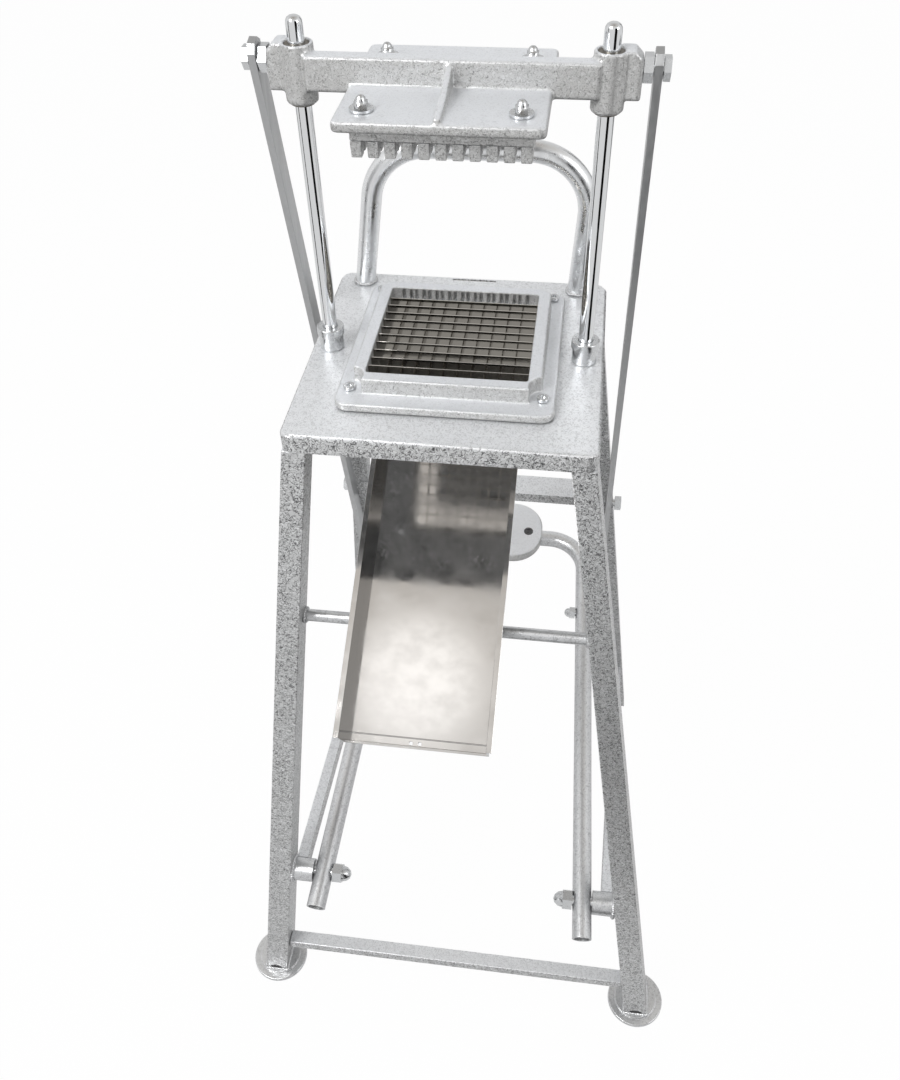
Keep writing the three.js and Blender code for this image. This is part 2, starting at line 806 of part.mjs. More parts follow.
const pivotFall = pivotDrop - trayLip;
const pivotLegHalf = (frontLegTop.width + frontLegWidthShare * pivotFall) / 2;
const pivotLegInner = frontLegTop.x + frontLegSplayShare * pivotFall - pivotLegHalf;
const pedalHalfAtPivot = pivotLegInner - pivotBossLength - pedalRadius - linkSideGap;
const pedalTaper = (pedalHalfAtPivot - pedalHalfAtPin) / pinRadius;
const pedalHalfAt = (y) => pedalHalfAtPivot - pedalTaper * y;
const pedalRoute = roundedRoute([
  new THREE.Vector3(-pedalHalfAt(-pedalFront), -pedalFront, 0),
  new THREE.Vector3(-pedalHalfAt(pedalBack), pedalBack, 0),
  new THREE.Vector3(pedalHalfAt(pedalBack), pedalBack, 0),
  new THREE.Vector3(pedalHalfAt(-pedalFront), -pedalFront, 0),
], pedalBend);
const pinSlotHalf = linkBoltRadius + pinSlotGap;
const pinSlotShape = roundedRectangle(pinSlotHalf, pinSlotTravel / 2 + pinSlotHalf, pinSlotHalf);
const pinSlot = alongX(slab(pinSlotShape, -pedalHalfAtPivot, pedalHalfAtPivot));
pinSlot.translate(0, pinRadius - pinSlotTravel / 2, 0);
const pivotHoleReach = 2 * pedalHalfAtPivot;
const pivotHole = alongX(bar(pivotBoltRadius + seatGap, -pivotHoleReach, pivotHoleReach, smallSides));
let pedalTube = cut(bentTube(pedalRoute, pedalRadius, pedalWall), pinSlot, pivotHole);

// Foot pad with a channel for the rear bar, held by countersunk screws
const padY = pedalBack + padShift;
const padOutline = roundedRectangle(padHalfWidth, padHalfDepth, padCorner);
let pad = solid(slab(padOutline, padBottom, padTop, padEdge, 2 * arcSteps).translate(0, padY, 0));
const padChannel = alongX(bar(pedalRadius + seatGap, -2 * padHalfWidth, 2 * padHalfWidth));
pad = cut(pad, padChannel.translate(0, pedalBack, 0));
const channelFront = pedalBack - pedalRadius - seatGap;
const channelBack = pedalBack + pedalRadius + seatGap;
pad = cut(pad, block(-padHalfWidth, padHalfWidth, channelFront, channelBack, -pedalRadius, 0));
for (const [name, side] of bothSides) {
  const x = side * padScrewX;
  const screwHole = padScrewRadius + seatGap;
  const sink = turned([
    [0, padTop - padScrewSink - cutOverrun],
    [screwHole, padTop - padScrewSink - cutOverrun],
    [screwHole, padTop - padScrewSink],
    [padScrewHead + seatGap, padTop - seatGap],
    [padScrewHead + seatGap, padTop + cutOverrun],
    [0, padTop + cutOverrun],
  ], smallSides).translate(x, pedalBack, 0);
  const bore = bar(screwHole, -padScrewTail, padTop, smallSides).translate(x, pedalBack, 0);
  pad = cut(pad, sink, bore);
  pedalTube = cut(pedalTube, bore);
  const screw = turned([
    [0, padTop - padScrewTail],
    [padScrewRadius, padTop - padScrewTail],
    [padScrewRadius, padTop - padScrewSink],
    [padScrewHead, padTop - seatGap],
    [0, padTop - seatGap],
  ], smallSides);
  piece(pedal, `pad_screw_${name}`, screw.translate(x, pedalBack, 0), zincPlate);
}
piece(pedal, 'pedal_frame', pedalTube, silverPaint);
piece(pedal, 'foot_pad', pad, castAluminium);

// Link bars, each turned in its own group about the bolt at the crosshead
const tubeOuter = pedalHalfAtPin + pedalRadius + linkShoulderGap;
const linkInnerFace = tubeOuter + linkShoulderLength;
const linkLowerX = linkInnerFace + linkSideGap + linkThickness / 2;
const linkUpper = new THREE.Vector3(linkUpperX, linkPinY, tableHeight + crossheadLift + linkPinDrop);
const pinRise = pinRadius * Math.sin(pedalPitch);
const pinBack = pinRadius * Math.cos(pedalPitch);
const linkLower = new THREE.Vector3(linkLowerX, pivotY + pinBack, tableHeight - pivotDrop + pinRise);
const linkSpan = linkLower.clone().sub(linkUpper);
const linkLength = linkSpan.length();
const linkRake = Math.atan2(linkSpan.y, -linkSpan.z);
const linkSplay = Math.asin(linkSpan.x / linkLength);
const linkShape = new THREE.Shape();
const linkHalf = linkWidth / 2;
linkShape.moveTo(-linkHalf, -linkLength);
linkShape.absarc(0, -linkLength, linkHalf, Math.PI, 2 * Math.PI, false);
linkShape.lineTo(linkHalf, linkTopReach - linkTopChamfer);
linkShape.lineTo(linkHalf - linkTopChamfer, linkTopReach);
linkShape.lineTo(-linkHalf + linkTopChamfer, linkTopReach);
linkShape.lineTo(-linkHalf, linkTopReach - linkTopChamfer);
linkShape.closePath();
for (const height of [0, -linkLength]) {
  const hole = new THREE.Path();
  hole.absarc(0, height, linkBoltRadius + seatGap, 0, 2 * Math.PI, true);
  linkShape.holes.push(hole);
}
const linkBar = slab(linkShape, -linkThickness / 2, linkThickness / 2, 0, smallSides / 2);
linkBar.rotateX(Math.PI / 2).rotateZ(Math.PI / 2);
for (const [name, side] of bothSides) {
  const link = new THREE.Group();
  link.position.set(side * linkUpper.x, linkUpper.y, linkUpper.z);
  link.rotation.set(linkRake, -side * linkSplay, 0);
  cutter.add(link);
  piece(link, `link_bar_${name}`, linkBar, plainSteel);
}

// Lower bolts of the link bars, each with a shoulder at the tube and a cap nut inside the pedal
const tubeInner = pedalHalfAtPin - pedalRadius - linkSideGap;
const lowerHeadSeat = linkLowerX + linkThickness / 2 + linkSideGap;
const lowerBolt = join(
  bar(linkBoltRadius, tubeInner - linkCapHexHeight, lowerHeadSeat + linkHeadHeight / 2, smallSides),
  bar(linkShoulderRadius, tubeOuter, linkInnerFace),
  hexBar(linkHeadAcross, lowerHeadSeat, lowerHeadSeat + linkHeadHeight),
);
const lowerCapBore = linkCapHexHeight + seatGap;
const lowerCap = capNut(
  linkCapAcross,
  linkCapHexHeight,
  linkCapDomeHeight,
  linkBoltRadius + seatGap,
  lowerCapBore,
);
for (const [name, side] of bothSides) {
  const spot = [0, linkLower.y, linkLower.z];
  const bolt = alongX(meshOf(lowerBolt)).translate(...spot);
  const nut = alongX(meshOf(lowerCap)).rotateY(Math.PI).translate(tubeInner, linkLower.y, linkLower.z);
  piece(cutter, `link_lower_bolt_${name}`, handed(bolt, side), zincPlate);
  piece(cutter, `link_lower_cap_nut_${name}`, handed(nut, side), zincPlate);
}

// Legs, made as right-hand ones from the floor up into the tray
const lipLevel = tableHeight - trayLip;
const legTopLevel = tableHeight - traySheet - seatGap;
const traySpace = roundedRectangle(
  trayInnerWidth - seatGap,
  trayInnerDepth - seatGap,
  trayCorner - traySheet - seatGap,
);
const trayEnvelope = cut(
  block(
    -2 * trayHalfWidth,
    2 * trayHalfWidth,
    -2 * trayHalfDepth,
    2 * trayHalfDepth,
    lipLevel - seatGap,
    tableHeight,
  ),
  slab(traySpace, lipLevel - trayLip, legTopLevel),
);

const footTop = footPlate + footRingHeight + seatGap;
const frontDrop = lipLevel - footTop;
const frontFoot = {
  x: frontLegTop.x + frontLegSplayShare * frontDrop,
  y: frontLegTop.y + frontLegRakeShare * frontDrop,
  z: footTop,
  width: frontLegTop.width + frontLegWidthShare * frontDrop,
  depth: frontLegTop.depth + frontLegDepthShare * frontDrop,
};
const frontTop = { ...frontLegTop, z: lipLevel };
const frontSection = (z) => sectionAt(frontFoot, frontTop, z);
let frontLeg = cut(legBetween(frontFoot, frontTop, footTop, legTopLevel), trayEnvelope);
const frontLegHollowTop = lipLevel - trayLip;
frontLeg = cut(frontLeg, legBetween(frontFoot, frontTop, footTop - cutOverrun, frontLegHollowTop, -legSheet));
const arch = alongX(bar(legArch, -frontFoot.depth, 0)).rotateZ(Math.PI / 2);
frontLeg = cut(frontLeg, arch.translate(frontFoot.x, frontFoot.y, footTop));
const rearTop = {
  x: rearLegOuter - rearLegWidth / 2,
  y: rearLegFront + rearLegDepth / 2,
  z: lipLevel,
  width: rearLegWidth,
  depth: rearLegDepth,
};
const rearFoot = {
  x: rearTop.x + rearLegSplayShare * lipLevel,
  y: rearTop.y + rearLegRakeShare * lipLevel,
  z: 0,
  width: rearLegWidth,
  depth: rearLegDepth,
};
const rearSection = (z) => sectionAt(rearFoot, rearTop, z);
let rearLeg = cut(legBetween(rearFoot, rearTop, 0, legTopLevel), trayEnvelope);
rearLeg = cut(rearLeg, legBetween(rearFoot, rearTop, -cutOverrun, lipLevel - trayLip, -rearLegSheet));
const frontLegGrown = solid(legBetween(frontFoot, frontTop, footTop, lipLevel, seatGap));
const rearLegGrown = solid(legBetween(rearFoot, rearTop, 0, lipLevel, seatGap));

// Rear rail, an angle whose ears are bolted to the inner faces of the rear legs
const railLevel = tableHeight - railDrop;
const railSection = rearSection(railLevel);
const railFront = railSection.y + railBehindLeg;
const railBack = railFront + railDepth;
const earFront = railFront - railEarLead;
const earMiddle = railLevel + railSheet;
const railBoltY = earFront + railBoltLead + seatGap;
const railBoltZ = railLevel + railSheet;
const railLegInner = railSection.x - railSection.width / 2;
const earInner = railLegInner - railEarSheet;
const railBoltHole = alongX(bar(railBoltRadius + seatGap, 0, 2 * railSection.x, smallSides));
railBoltHole.translate(0, railBoltY, railBoltZ);
let rail = join(
  block(-railSection.x, railSection.x, railFront, railBack, railLevel - railSheet, railLevel),
  block(-railSection.x, railSection.x, railFront, railFront + railSheet, railLevel - railLip, railLevel),
);
for (const side of [-1, 1]) {
  const earLow = earMiddle - railEarHeight / 2;
  const earHigh = earMiddle + railEarHeight / 2;
  const ear = block(earInner, railSection.x, earFront, railFront + railSheet, earLow, earHigh);
  rail = cut(join(rail, handed(ear, side)), handed(rearLegGrown, side), handed(railBoltHole, side));
}
rearLeg = cut(rearLeg, railBoltHole);
piece(stand, 'rear_rail', rail, hammertone);

const railNutSeat = earInner - seatGap;
const railHeadSeat = rearSection(railBoltZ - railNutAcross).x + railSection.width / 2 + seatGap;
const railBolt = join(
  bar(railBoltRadius, railNutSeat - railNutHeight - seatGap, railHeadSeat + railNutHeight / 2, smallSides),
  hexBar(railNutAcross, railHeadSeat, railHeadSeat + railNutHeight),
);
const railNut = cut(
  hexBar(railNutAcross, railNutSeat - railNutHeight, railNutSeat),
  bar(railBoltRadius + seatGap, 0, railHeadSeat, smallSides),
);
for (const [name, side] of bothSides) {
  const bolt = alongX(meshOf(railBolt)).translate(0, railBoltY, railBoltZ);
  const nut = alongX(meshOf(railNut)).translate(0, railBoltY, railBoltZ);
  piece(stand, `rail_bolt_${name}`, handed(bolt, side), zincPlate);
  piece(stand, `rail_nut_${name}`, handed(nut, side), zincPlate);
}

// Pedal pivots: a boss on the inner face of each front leg, and a bolt with a cap nut
const pivotLevel = tableHeight - pivotDrop;
const pivotSection = frontSection(pivotLevel);
const bossInner = pedalHalfAtPivot + pedalRadius + linkSideGap;
const pivotBoltEnd = pivotSection.x - pivotSection.width / 2;
const pivotCapSeat = pedalHalfAtPivot - pedalRadius - linkSideGap;
const bossBore = bar(pivotBoltRadius + seatGap, 0, pivotSection.x, smallSides);
let boss = cut(bar(pivotBossRadius, bossInner, pivotSection.x), bossBore);
boss = cut(alongX(meshOf(boss)).translate(0, pivotY, pivotLevel), frontLegGrown);
const pivotBoltStart = pivotCapSeat - pivotCapBore + seatGap;
const pivotBolt = bar(pivotBoltRadius, pivotBoltStart, pivotBoltEnd - legSheet, smallSides);
const pivotCap = capNut(
  pivotCapAcross,
  pivotCapHexHeight,
  pivotCapDomeHeight,
  pivotBoltRadius + seatGap,
  pivotCapBore,
);
for (const [name, side] of bothSides) {
  piece(stand, `pivot_boss_${name}`, handed(boss, side), silverPaint);
  const bolt = alongX(pivotBolt.clone()).translate(0, pivotY, pivotLevel);
  const nut = alongX(meshOf(pivotCap)).rotateY(Math.PI).translate(pivotCapSeat, pivotY, pivotLevel);
  piece(stand, `pivot_bolt_${name}`, handed(bolt, side), zincPlate);
  piece(stand, `pivot_cap_nut_${name}`, handed(nut, side), zincPlate);
}

// Bars between the legs
const frontBarEnd = frontSection(frontBarLevel).x;
const frontBarFront = frontBarY - frontBarDepth / 2;
const frontBarBack = frontBarY + frontBarDepth / 2;
const frontBarLow = frontBarLevel - frontBarHeight / 2;
const frontBarHigh = frontBarLevel + frontBarHeight / 2;
let frontBar = block(-frontBarEnd, frontBarEnd, frontBarFront, frontBarBack, frontBarLow, frontBarHigh);
let chuteRod = alongX(bar(chuteRodRadius, -frontBarEnd, frontBarEnd, smallSides));
chuteRod.translate(0, chuteRodY, tableHeight - chuteRodDrop);
const chuteRodEnd = frontSection(tableHeight - chuteRodDrop).x;
chuteRod = solid(chuteRod).intersect(solid(
  block(-chuteRodEnd, chuteRodEnd, -trayHalfDepth * 2, trayHalfDepth, 0, tableHeight),
));
for (const side of [-1, 1]) {
  frontBar = cut(frontBar, handed(frontLegGrown, side));
  chuteRod = cut(chuteRod, handed(frontLegGrown, side));
}
piece(stand, 'front_stretcher', frontBar, hammertone);
piece(stand, 'chute_rod', chuteRod, silverPaint);

const sideBarStart = { x: sideBarFrontX, y: pivotY, z: pivotLevel };
const bossGrown = alongX(bar(pivotBossRadius + seatGap, 0, pivotSection.x)).translate(0, pivotY, pivotLevel);
const sideBarEnd = rearSection(pivotLevel * sideBarBackShare);
const sideBarShape = new THREE.BoxGeometry(1, 1, 1);
const sideBarCorners = sideBarShape.attributes.position;
for (let i = 0; i < sideBarCorners.count; i += 1) {
  const end = sideBarCorners.getY(i) < 0 ? sideBarStart : sideBarEnd;
  const x = end.x + sideBarCorners.getX(i) * sideBarWidth;
  const z = end.z + sideBarCorners.getZ(i) * sideBarHeight;
  sideBarCorners.setXYZ(i, x, end.y, z);
}
const sideBar = cut(sideBarShape, frontLegGrown, rearLegGrown, bossGrown);

// Feet of the front legs: a round plate with a raised middle under the leg
const footProfile = [
  [0, 0],
  [footRadius, 0],
  [footRadius, footPlate - footEdge],
  [footRadius - footEdge, footPlate],
  [footRingRadius, footPlate],
  [footRingRadius, footPlate + footRingHeight],
  [0, footPlate + footRingHeight],
];
for (const [name, side] of bothSides) {
  piece(stand, `front_leg_${name}`, handed(frontLeg, side), hammertone);
  piece(stand, `rear_leg_${name}`, handed(rearLeg, side), hammertone);
  piece(stand, `side_stretcher_${name}`, handed(sideBar, side), hammertone);
  const foot = turned(footProfile, 2 * roundSides).translate(frontFoot.x, frontFoot.y, 0);
  piece(stand, `front_foot_${name}`, handed(foot, side), silverPaint);
}

// Chute: a folded trough that rests on its rod and hooks in the slot of the table
const chuteInner = chuteHalf - chuteHem;
const chuteFloor = chuteRodRadius + seatGap;
const chuteFloorTop = chuteFloor + chuteSheet;
const chuteWallTop = chuteFloorTop + chuteWallHeight;
const chuteBackRun = (hookSlotY - chuteRodY) / Math.cos(chuteSlope);
const chuteHigh = chuteBackRun + chuteWallTop * Math.tan(chuteSlope);
let trough = join(
  block(-chuteInner, chuteInner, -chuteReach, chuteHigh, chuteFloor, chuteFloorTop),
  block(
    -chuteInner,
    chuteInner,
    -chuteReach,
    -chuteReach + chuteEndHem,
    chuteFloor - chuteSheet,
    chuteFloorTop,
  ),
);
for (const side of [-1, 1]) {
  trough = join(
    trough,
    handed(
      block(chuteInner - chuteSheet, chuteInner, -chuteReach, chuteHigh, chuteFloor, chuteWallTop),
      side,
    ),
    handed(block(
      chuteInner - chuteSheet,
      chuteHalf,
      -chuteReach,
      chuteHigh,
      chuteWallTop - chuteSheet,
      chuteWallTop,
    ), side),
  );
}
for (const step of [0, 1]) {
  const hole = bar(chuteHoleRadius, 0, chuteWallTop, smallSides);
  hole.translate(chuteHoleX + step * chuteHolePitch, -chuteReach + chuteEndHem / 2, 0);
  trough = cut(trough, hole);
}
const chuteRodLevel = tableHeight - chuteRodDrop;
let chute = solid(meshOf(trough).rotateX(chuteSlope).translate(chuteX, chuteRodY, chuteRodLevel));
const chuteBackHigh = tableHeight - traySheet - seatGap;
const chutePlateFront = hookSlotY - chuteSheet / 2;
const chutePlateBack = hookSlotY + chuteSheet / 2;
const chutePlateLow = chuteRodLevel + chuteBackRun * Math.sin(chuteSlope) + chuteFloor / Math.cos(chuteSlope);
const chuteSpan = 2 * trayHalfDepth;
chute = cut(chute, block(-chuteSpan, chuteSpan, chutePlateFront, 2 * chuteSpan, 0, tableHeight));
const backPlate = join(
  block(
    chuteX - chuteInner,
    chuteX + chuteInner,
    chutePlateFront - chuteSheet / 2,
    chutePlateBack,
    chutePlateLow,
    chuteBackHigh,
  ),
  block(
    hookSlotX - hookTabWidth / 2,
    hookSlotX + hookTabWidth / 2,
    chutePlateFront,
    chutePlateBack,
    chutePlateLow,
    tableHeight - hookTabDrop,
  ),
);
chute = join(chute, backPlate);
piece(stand, 'chute', chute, polishedSteel);

// The origin is on the floor under the middle of the machine
const reach = new THREE.Box3().setFromObject(cutter);
const middle = reach.getCenter(new THREE.Vector3());
cutter.position.set(-middle.x, -middle.y, -reach.min.z);

export default cutter;
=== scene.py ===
import json
import math

import bmesh
import bpy
from mathutils import Matrix, Vector


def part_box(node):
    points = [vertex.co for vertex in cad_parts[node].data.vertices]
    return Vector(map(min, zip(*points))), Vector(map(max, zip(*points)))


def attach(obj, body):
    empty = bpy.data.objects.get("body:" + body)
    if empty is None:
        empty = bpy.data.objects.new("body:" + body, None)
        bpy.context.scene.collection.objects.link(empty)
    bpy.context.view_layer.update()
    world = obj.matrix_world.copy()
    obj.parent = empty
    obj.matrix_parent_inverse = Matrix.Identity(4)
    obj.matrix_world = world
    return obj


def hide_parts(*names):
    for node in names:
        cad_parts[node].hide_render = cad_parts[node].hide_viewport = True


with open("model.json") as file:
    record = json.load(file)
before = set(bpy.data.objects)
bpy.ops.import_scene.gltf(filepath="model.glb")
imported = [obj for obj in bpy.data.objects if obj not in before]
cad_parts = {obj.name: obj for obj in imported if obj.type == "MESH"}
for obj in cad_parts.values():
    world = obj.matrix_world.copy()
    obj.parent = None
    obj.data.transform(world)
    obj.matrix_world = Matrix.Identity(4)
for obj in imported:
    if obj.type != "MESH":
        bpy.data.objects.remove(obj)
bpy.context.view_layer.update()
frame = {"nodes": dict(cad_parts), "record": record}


# Studio: a pale floor that fades into white, three soft lamps, a sky that grows duller
# overhead and behind, and dark strips that show in reflections only, where the rim lamp
# shows in none. The camera stands where the photograph was taken from.
scene = bpy.context.scene
scene.view_settings.view_transform = "Standard"
aim = Vector((0.0, 0.0, 0.75))


def new_material(name):
    material = bpy.data.materials.new(name)
    material.use_nodes = True
    material.node_tree.nodes.clear()
    return material, material.node_tree


def wire(tree, start, end):
    tree.links.new(start, end)


def link_object(name, mesh):
    piece = bpy.data.objects.new(name, mesh)
    scene.collection.objects.link(piece)
    return piece


def flat_panel(name, width, height, place):
    mesh = bpy.data.meshes.new(name)
    corners = [(-width / 2, -height / 2, 0), (width / 2, -height / 2, 0),
               (width / 2, height / 2, 0), (-width / 2, height / 2, 0)]
    mesh.from_pydata(corners, [], [(0, 1, 2, 3)])
    panel = link_object(name, mesh)
    panel.location = place
    return panel


floor_width = 14.0
floor_white = 1.04
floor_white_share = 0.94
floor = flat_panel("studio floor", floor_width, floor_width, (0, 0, 0))
floor_paint, tree = new_material("studio floor")
diffuse = tree.nodes.new("ShaderNodeBsdfDiffuse")
diffuse.inputs["Color"].default_value = (0.3, 0.3, 0.3, 1)
glow = tree.nodes.new("ShaderNodeEmission")
glow.inputs["Strength"].default_value = floor_white
mirror_glow = tree.nodes.new("ShaderNodeEmission")
mirror_glow.inputs["Color"].default_value = (0.8, 0.8, 0.8, 1)
path = tree.nodes.new("ShaderNodeLightPath")
fade = tree.nodes.new("ShaderNodeMath")
fade.operation = "MULTIPLY"
fade.inputs[1].default_value = floor_white_share
mirror_mix = tree.nodes.new("ShaderNodeMixShader")
mix = tree.nodes.new("ShaderNodeMixShader")
output = tree.nodes.new("ShaderNodeOutputMaterial")
wire(tree, path.outputs["Is Glossy Ray"], mirror_mix.inputs["Fac"])
wire(tree, diffuse.outputs[0], mirror_mix.inputs[1])
wire(tree, mirror_glow.outputs[0], mirror_mix.inputs[2])
wire(tree, path.outputs["Is Camera Ray"], fade.inputs[0])
wire(tree, fade.outputs[0], mix.inputs["Fac"])
wire(tree, mirror_mix.outputs[0], mix.inputs[1])
wire(tree, glow.outputs[0], mix.inputs[2])
wire(tree, mix.outputs[0], output.inputs["Surface"])
floor.data.materials.append(floor_paint)

sky_tones = ((0.6, (0.85, 0.85, 0.85, 1)), (0.91, (0.6, 0.585, 0.565, 1)),
             (0.955, (0.54, 0.515, 0.485, 1)), (0.98, (0.5, 0.475, 0.45, 1)))
bright_patch = Vector((-0.125, -0.325, 0.9375)).normalized()
sky_light = 0.55
world = bpy.data.worlds.new("studio sky")
scene.world = world
world.use_nodes = True
tree = world.node_tree
tree.nodes.clear()
direction = tree.nodes.new("ShaderNodeTexCoord")
parts = tree.nodes.new("ShaderNodeSeparateXYZ")
wire(tree, direction.outputs["Generated"], parts.inputs[0])
sky_ramp = tree.nodes.new("ShaderNodeValToRGB")
sky_ramp.color_ramp.elements[0].position = 0.0
sky_ramp.color_ramp.elements[0].color = (0.8, 0.8, 0.8, 1)
sky_ramp.color_ramp.elements[1].position = 1.0
sky_ramp.color_ramp.elements[1].color = (0.3, 0.28, 0.26, 1)
for place, colour in sky_tones:
    sky_ramp.color_ramp.elements.new(place).color = colour
wire(tree, parts.outputs["Z"], sky_ramp.inputs["Fac"])
depth_fade = tree.nodes.new("ShaderNodeMapRange")
depth_fade.interpolation_type = "SMOOTHSTEP"
depth_fade.inputs["From Min"].default_value = 0.15
depth_fade.inputs["From Max"].default_value = 0.75
depth_fade.inputs["To Min"].default_value = 1.0
depth_fade.inputs["To Max"].default_value = 0.85
wire(tree, parts.outputs["Y"], depth_fade.inputs["Value"])
toned = tree.nodes.new("ShaderNodeVectorMath")
toned.operation = "SCALE"
wire(tree, sky_ramp.outputs["Color"], toned.inputs[0])
wire(tree, depth_fade.outputs[0], toned.inputs["Scale"])
patch = tree.nodes.new("ShaderNodeVectorMath")
patch.operation = "DOT_PRODUCT"
patch.inputs[1].default_value = bright_patch
wire(tree, direction.outputs["Generated"], patch.inputs[0])
patch_ramp = tree.nodes.new("ShaderNodeMapRange")
patch_ramp.interpolation_type = "SMOOTHSTEP"
patch_ramp.inputs["From Min"].default_value = 0.9962
patch_ramp.inputs["From Max"].default_value = 1.0
patch_ramp.inputs["To Max"].default_value = 0.6
wire(tree, patch.outputs["Value"], patch_ramp.inputs["Value"])
mirrored = tree.nodes.new("ShaderNodeVectorMath")
mirrored.operation = "ADD"
wire(tree, toned.outputs[0], mirrored.inputs[0])
wire(tree, patch_ramp.outputs[0], mirrored.inputs[1])
seen = tree.nodes.new("ShaderNodeBackground")
light = tree.nodes.new("ShaderNodeBackground")
light.inputs["Strength"].default_value = sky_light
mirror = tree.nodes.new("ShaderNodeBackground")
path = tree.nodes.new("ShaderNodeLightPath")
mirror_mix = tree.nodes.new("ShaderNodeMixShader")
mix = tree.nodes.new("ShaderNodeMixShader")
output = tree.nodes.new("ShaderNodeOutputWorld")
seen.inputs["Color"].default_value = (1, 1, 1, 1)
wire(tree, toned.outputs[0], light.inputs["Color"])
wire(tree, mirrored.outputs[0], mirror.inputs["Color"])
wire(tree, path.outputs["Is Glossy Ray"], mirror_mix.inputs["Fac"])
wire(tree, light.outputs[0], mirror_mix.inputs[1])
wire(tree, mirror.outputs[0], mirror_mix.inputs[2])
wire(tree, path.outputs["Is Camera Ray"], mix.inputs["Fac"])
wire(tree, mirror_mix.outputs[0], mix.inputs[1])
wire(tree, seen.outputs[0], mix.inputs[2])
wire(tree, mix.outputs[0], output.inputs["Surface"])

for name, place, size, power in (
    ("key lamp", (-1.3, -1.5, 2.6), 1.2, 47.0),
    ("fill lamp", (1.7, -0.9, 1.9), 1.0, 8.0),
    ("rim lamp", (0.2, 1.7, 2.3), 1.4, 14.0),
):
    lamp = bpy.data.lights.new(name, "AREA")
    lamp.size = size
    lamp.energy = power
    holder = bpy.data.objects.new(name, lamp)
    holder.location = place
    holder.rotation_euler = (aim - Vector(place)).to_track_quat("-Z", "Y").to_euler()
    holder.visible_glossy = name != "rim lamp"
    scene.collection.objects.link(holder)

above_floor = 0.004
strip_paint, tree = new_material("dark strip")
dark = tree.nodes.new("ShaderNodeBsdfDiffuse")
dark.inputs["Color"].default_value = (0.01, 0.01, 0.01, 1)
output = tree.nodes.new("ShaderNodeOutputMaterial")
wire(tree, dark.outputs[0], output.inputs["Surface"])
for name, place, width, height, flat in (
    ("dark strip right", (1.1, -1.65, 1.0), 1.1, 2.4, False),
    ("dark strip left", (-1.5, -0.7, 1.0), 0.3, 2.4, False),
    ("dark strip back", (1.2, 1.6, 1.0), 0.4, 2.4, False),
    ("dark floor strip", (0.85, -1.15, above_floor), 0.9, 1.9, True),
    ("dark floor strip left", (-1.35, -0.75, above_floor), 0.22, 1.6, True),
):
    strip = flat_panel(name, width, height, place)
    heading = math.atan2(place[1], place[0]) + math.pi / 2
    strip.rotation_euler = (0 if flat else math.pi / 2, 0, heading)
    strip.data.materials.append(strip_paint)
    strip.visible_camera = False
    strip.visible_shadow = False
    strip.visible_diffuse = False

camera_data = bpy.data.cameras.new("camera")
camera_data.sensor_fit = "VERTICAL"
camera_data.sensor_height = 24.0
camera_data.lens = 21.9333
camera = bpy.data.objects.new("camera", camera_data)
camera.location = (0.083436, -0.702506, 1.270468)
camera.rotation_euler = tuple(math.radians(angle) for angle in (45.41786, 1.08902, 7.47846))
scene.collection.objects.link(camera)
scene.camera = camera


# Table tray: one square pressing of sheet steel with a turned-down lip, painted with
# silver hammer paint. The paint pulls into dark wandering veins, strongest on the
# upright faces, where it ran, and faint on the top.
record = frame["record"]
bodies = {node: body for body, nodes in record["behaviour"]["bodies"].items() for node in nodes}


def put_socket(group, name, way, kind, value=None):
    socket = group.interface.new_socket(name=name, in_out=way, socket_type=kind)
    if value is not None:
        socket.default_value = value


def math_node(tree, operation, first, second=None, clamp=False):
    node = tree.nodes.new("ShaderNodeMath")
    node.operation = operation
    node.use_clamp = clamp
    for socket, value in zip(node.inputs, (first, second)):
        if value is None:
            continue
        if isinstance(value, (int, float)):
            socket.default_value = value
        else:
            wire(tree, value, socket)
    return node.outputs[0]


vein_level = 0.5
fleck_level = 0.62
fleck_share = 0.6
patch_scale = 0.6
patch_level = 0.3
patch_contrast = 6.0
shade_under_reach = -0.8
hammer_veins = bpy.data.node_groups.new("hammer veins", "ShaderNodeTree")
put_socket(hammer_veins, "Scale", "INPUT", "NodeSocketFloat", 400.0)
put_socket(hammer_veins, "Width", "INPUT", "NodeSocketFloat", 0.04)
put_socket(hammer_veins, "Strength", "INPUT", "NodeSocketFloat", 1.0)
put_socket(hammer_veins, "Top share", "INPUT", "NodeSocketFloat", 0.3)
put_socket(hammer_veins, "Veins", "OUTPUT", "NodeSocketFloat")
put_socket(hammer_veins, "Flecks", "OUTPUT", "NodeSocketFloat")
put_socket(hammer_veins, "Upward", "OUTPUT", "NodeSocketFloat")
put_socket(hammer_veins, "Under", "OUTPUT", "NodeSocketFloat")
put_socket(hammer_veins, "Height", "OUTPUT", "NodeSocketFloat")
tree = hammer_veins
ends_in = tree.nodes.new("NodeGroupInput")
ends_out = tree.nodes.new("NodeGroupOutput")
where = tree.nodes.new("ShaderNodeTexCoord")
worms = tree.nodes.new("ShaderNodeTexNoise")
worms.inputs["Detail"].default_value = 1.0
worms.inputs["Distortion"].default_value = 0.8
wire(tree, where.outputs["Object"], worms.inputs["Vector"])
wire(tree, ends_in.outputs["Scale"], worms.inputs["Scale"])
offset = math_node(tree, "ABSOLUTE", math_node(tree, "SUBTRACT", worms.outputs["Fac"], vein_level))
line = math_node(tree, "DIVIDE", offset, ends_in.outputs["Width"])
line = math_node(tree, "SUBTRACT", 1.0, line, True)
# Pale flecks beside the veins: part of the hammer pattern, and painted glints of light as well.
beside = math_node(tree, "ABSOLUTE", math_node(tree, "SUBTRACT", worms.outputs["Fac"], fleck_level))
pale = math_node(tree, "DIVIDE", beside, ends_in.outputs["Width"])
pale = math_node(tree, "SUBTRACT", 1.0, pale, True)
patches = tree.nodes.new("ShaderNodeTexNoise")
patches.inputs["Detail"].default_value = 2.0
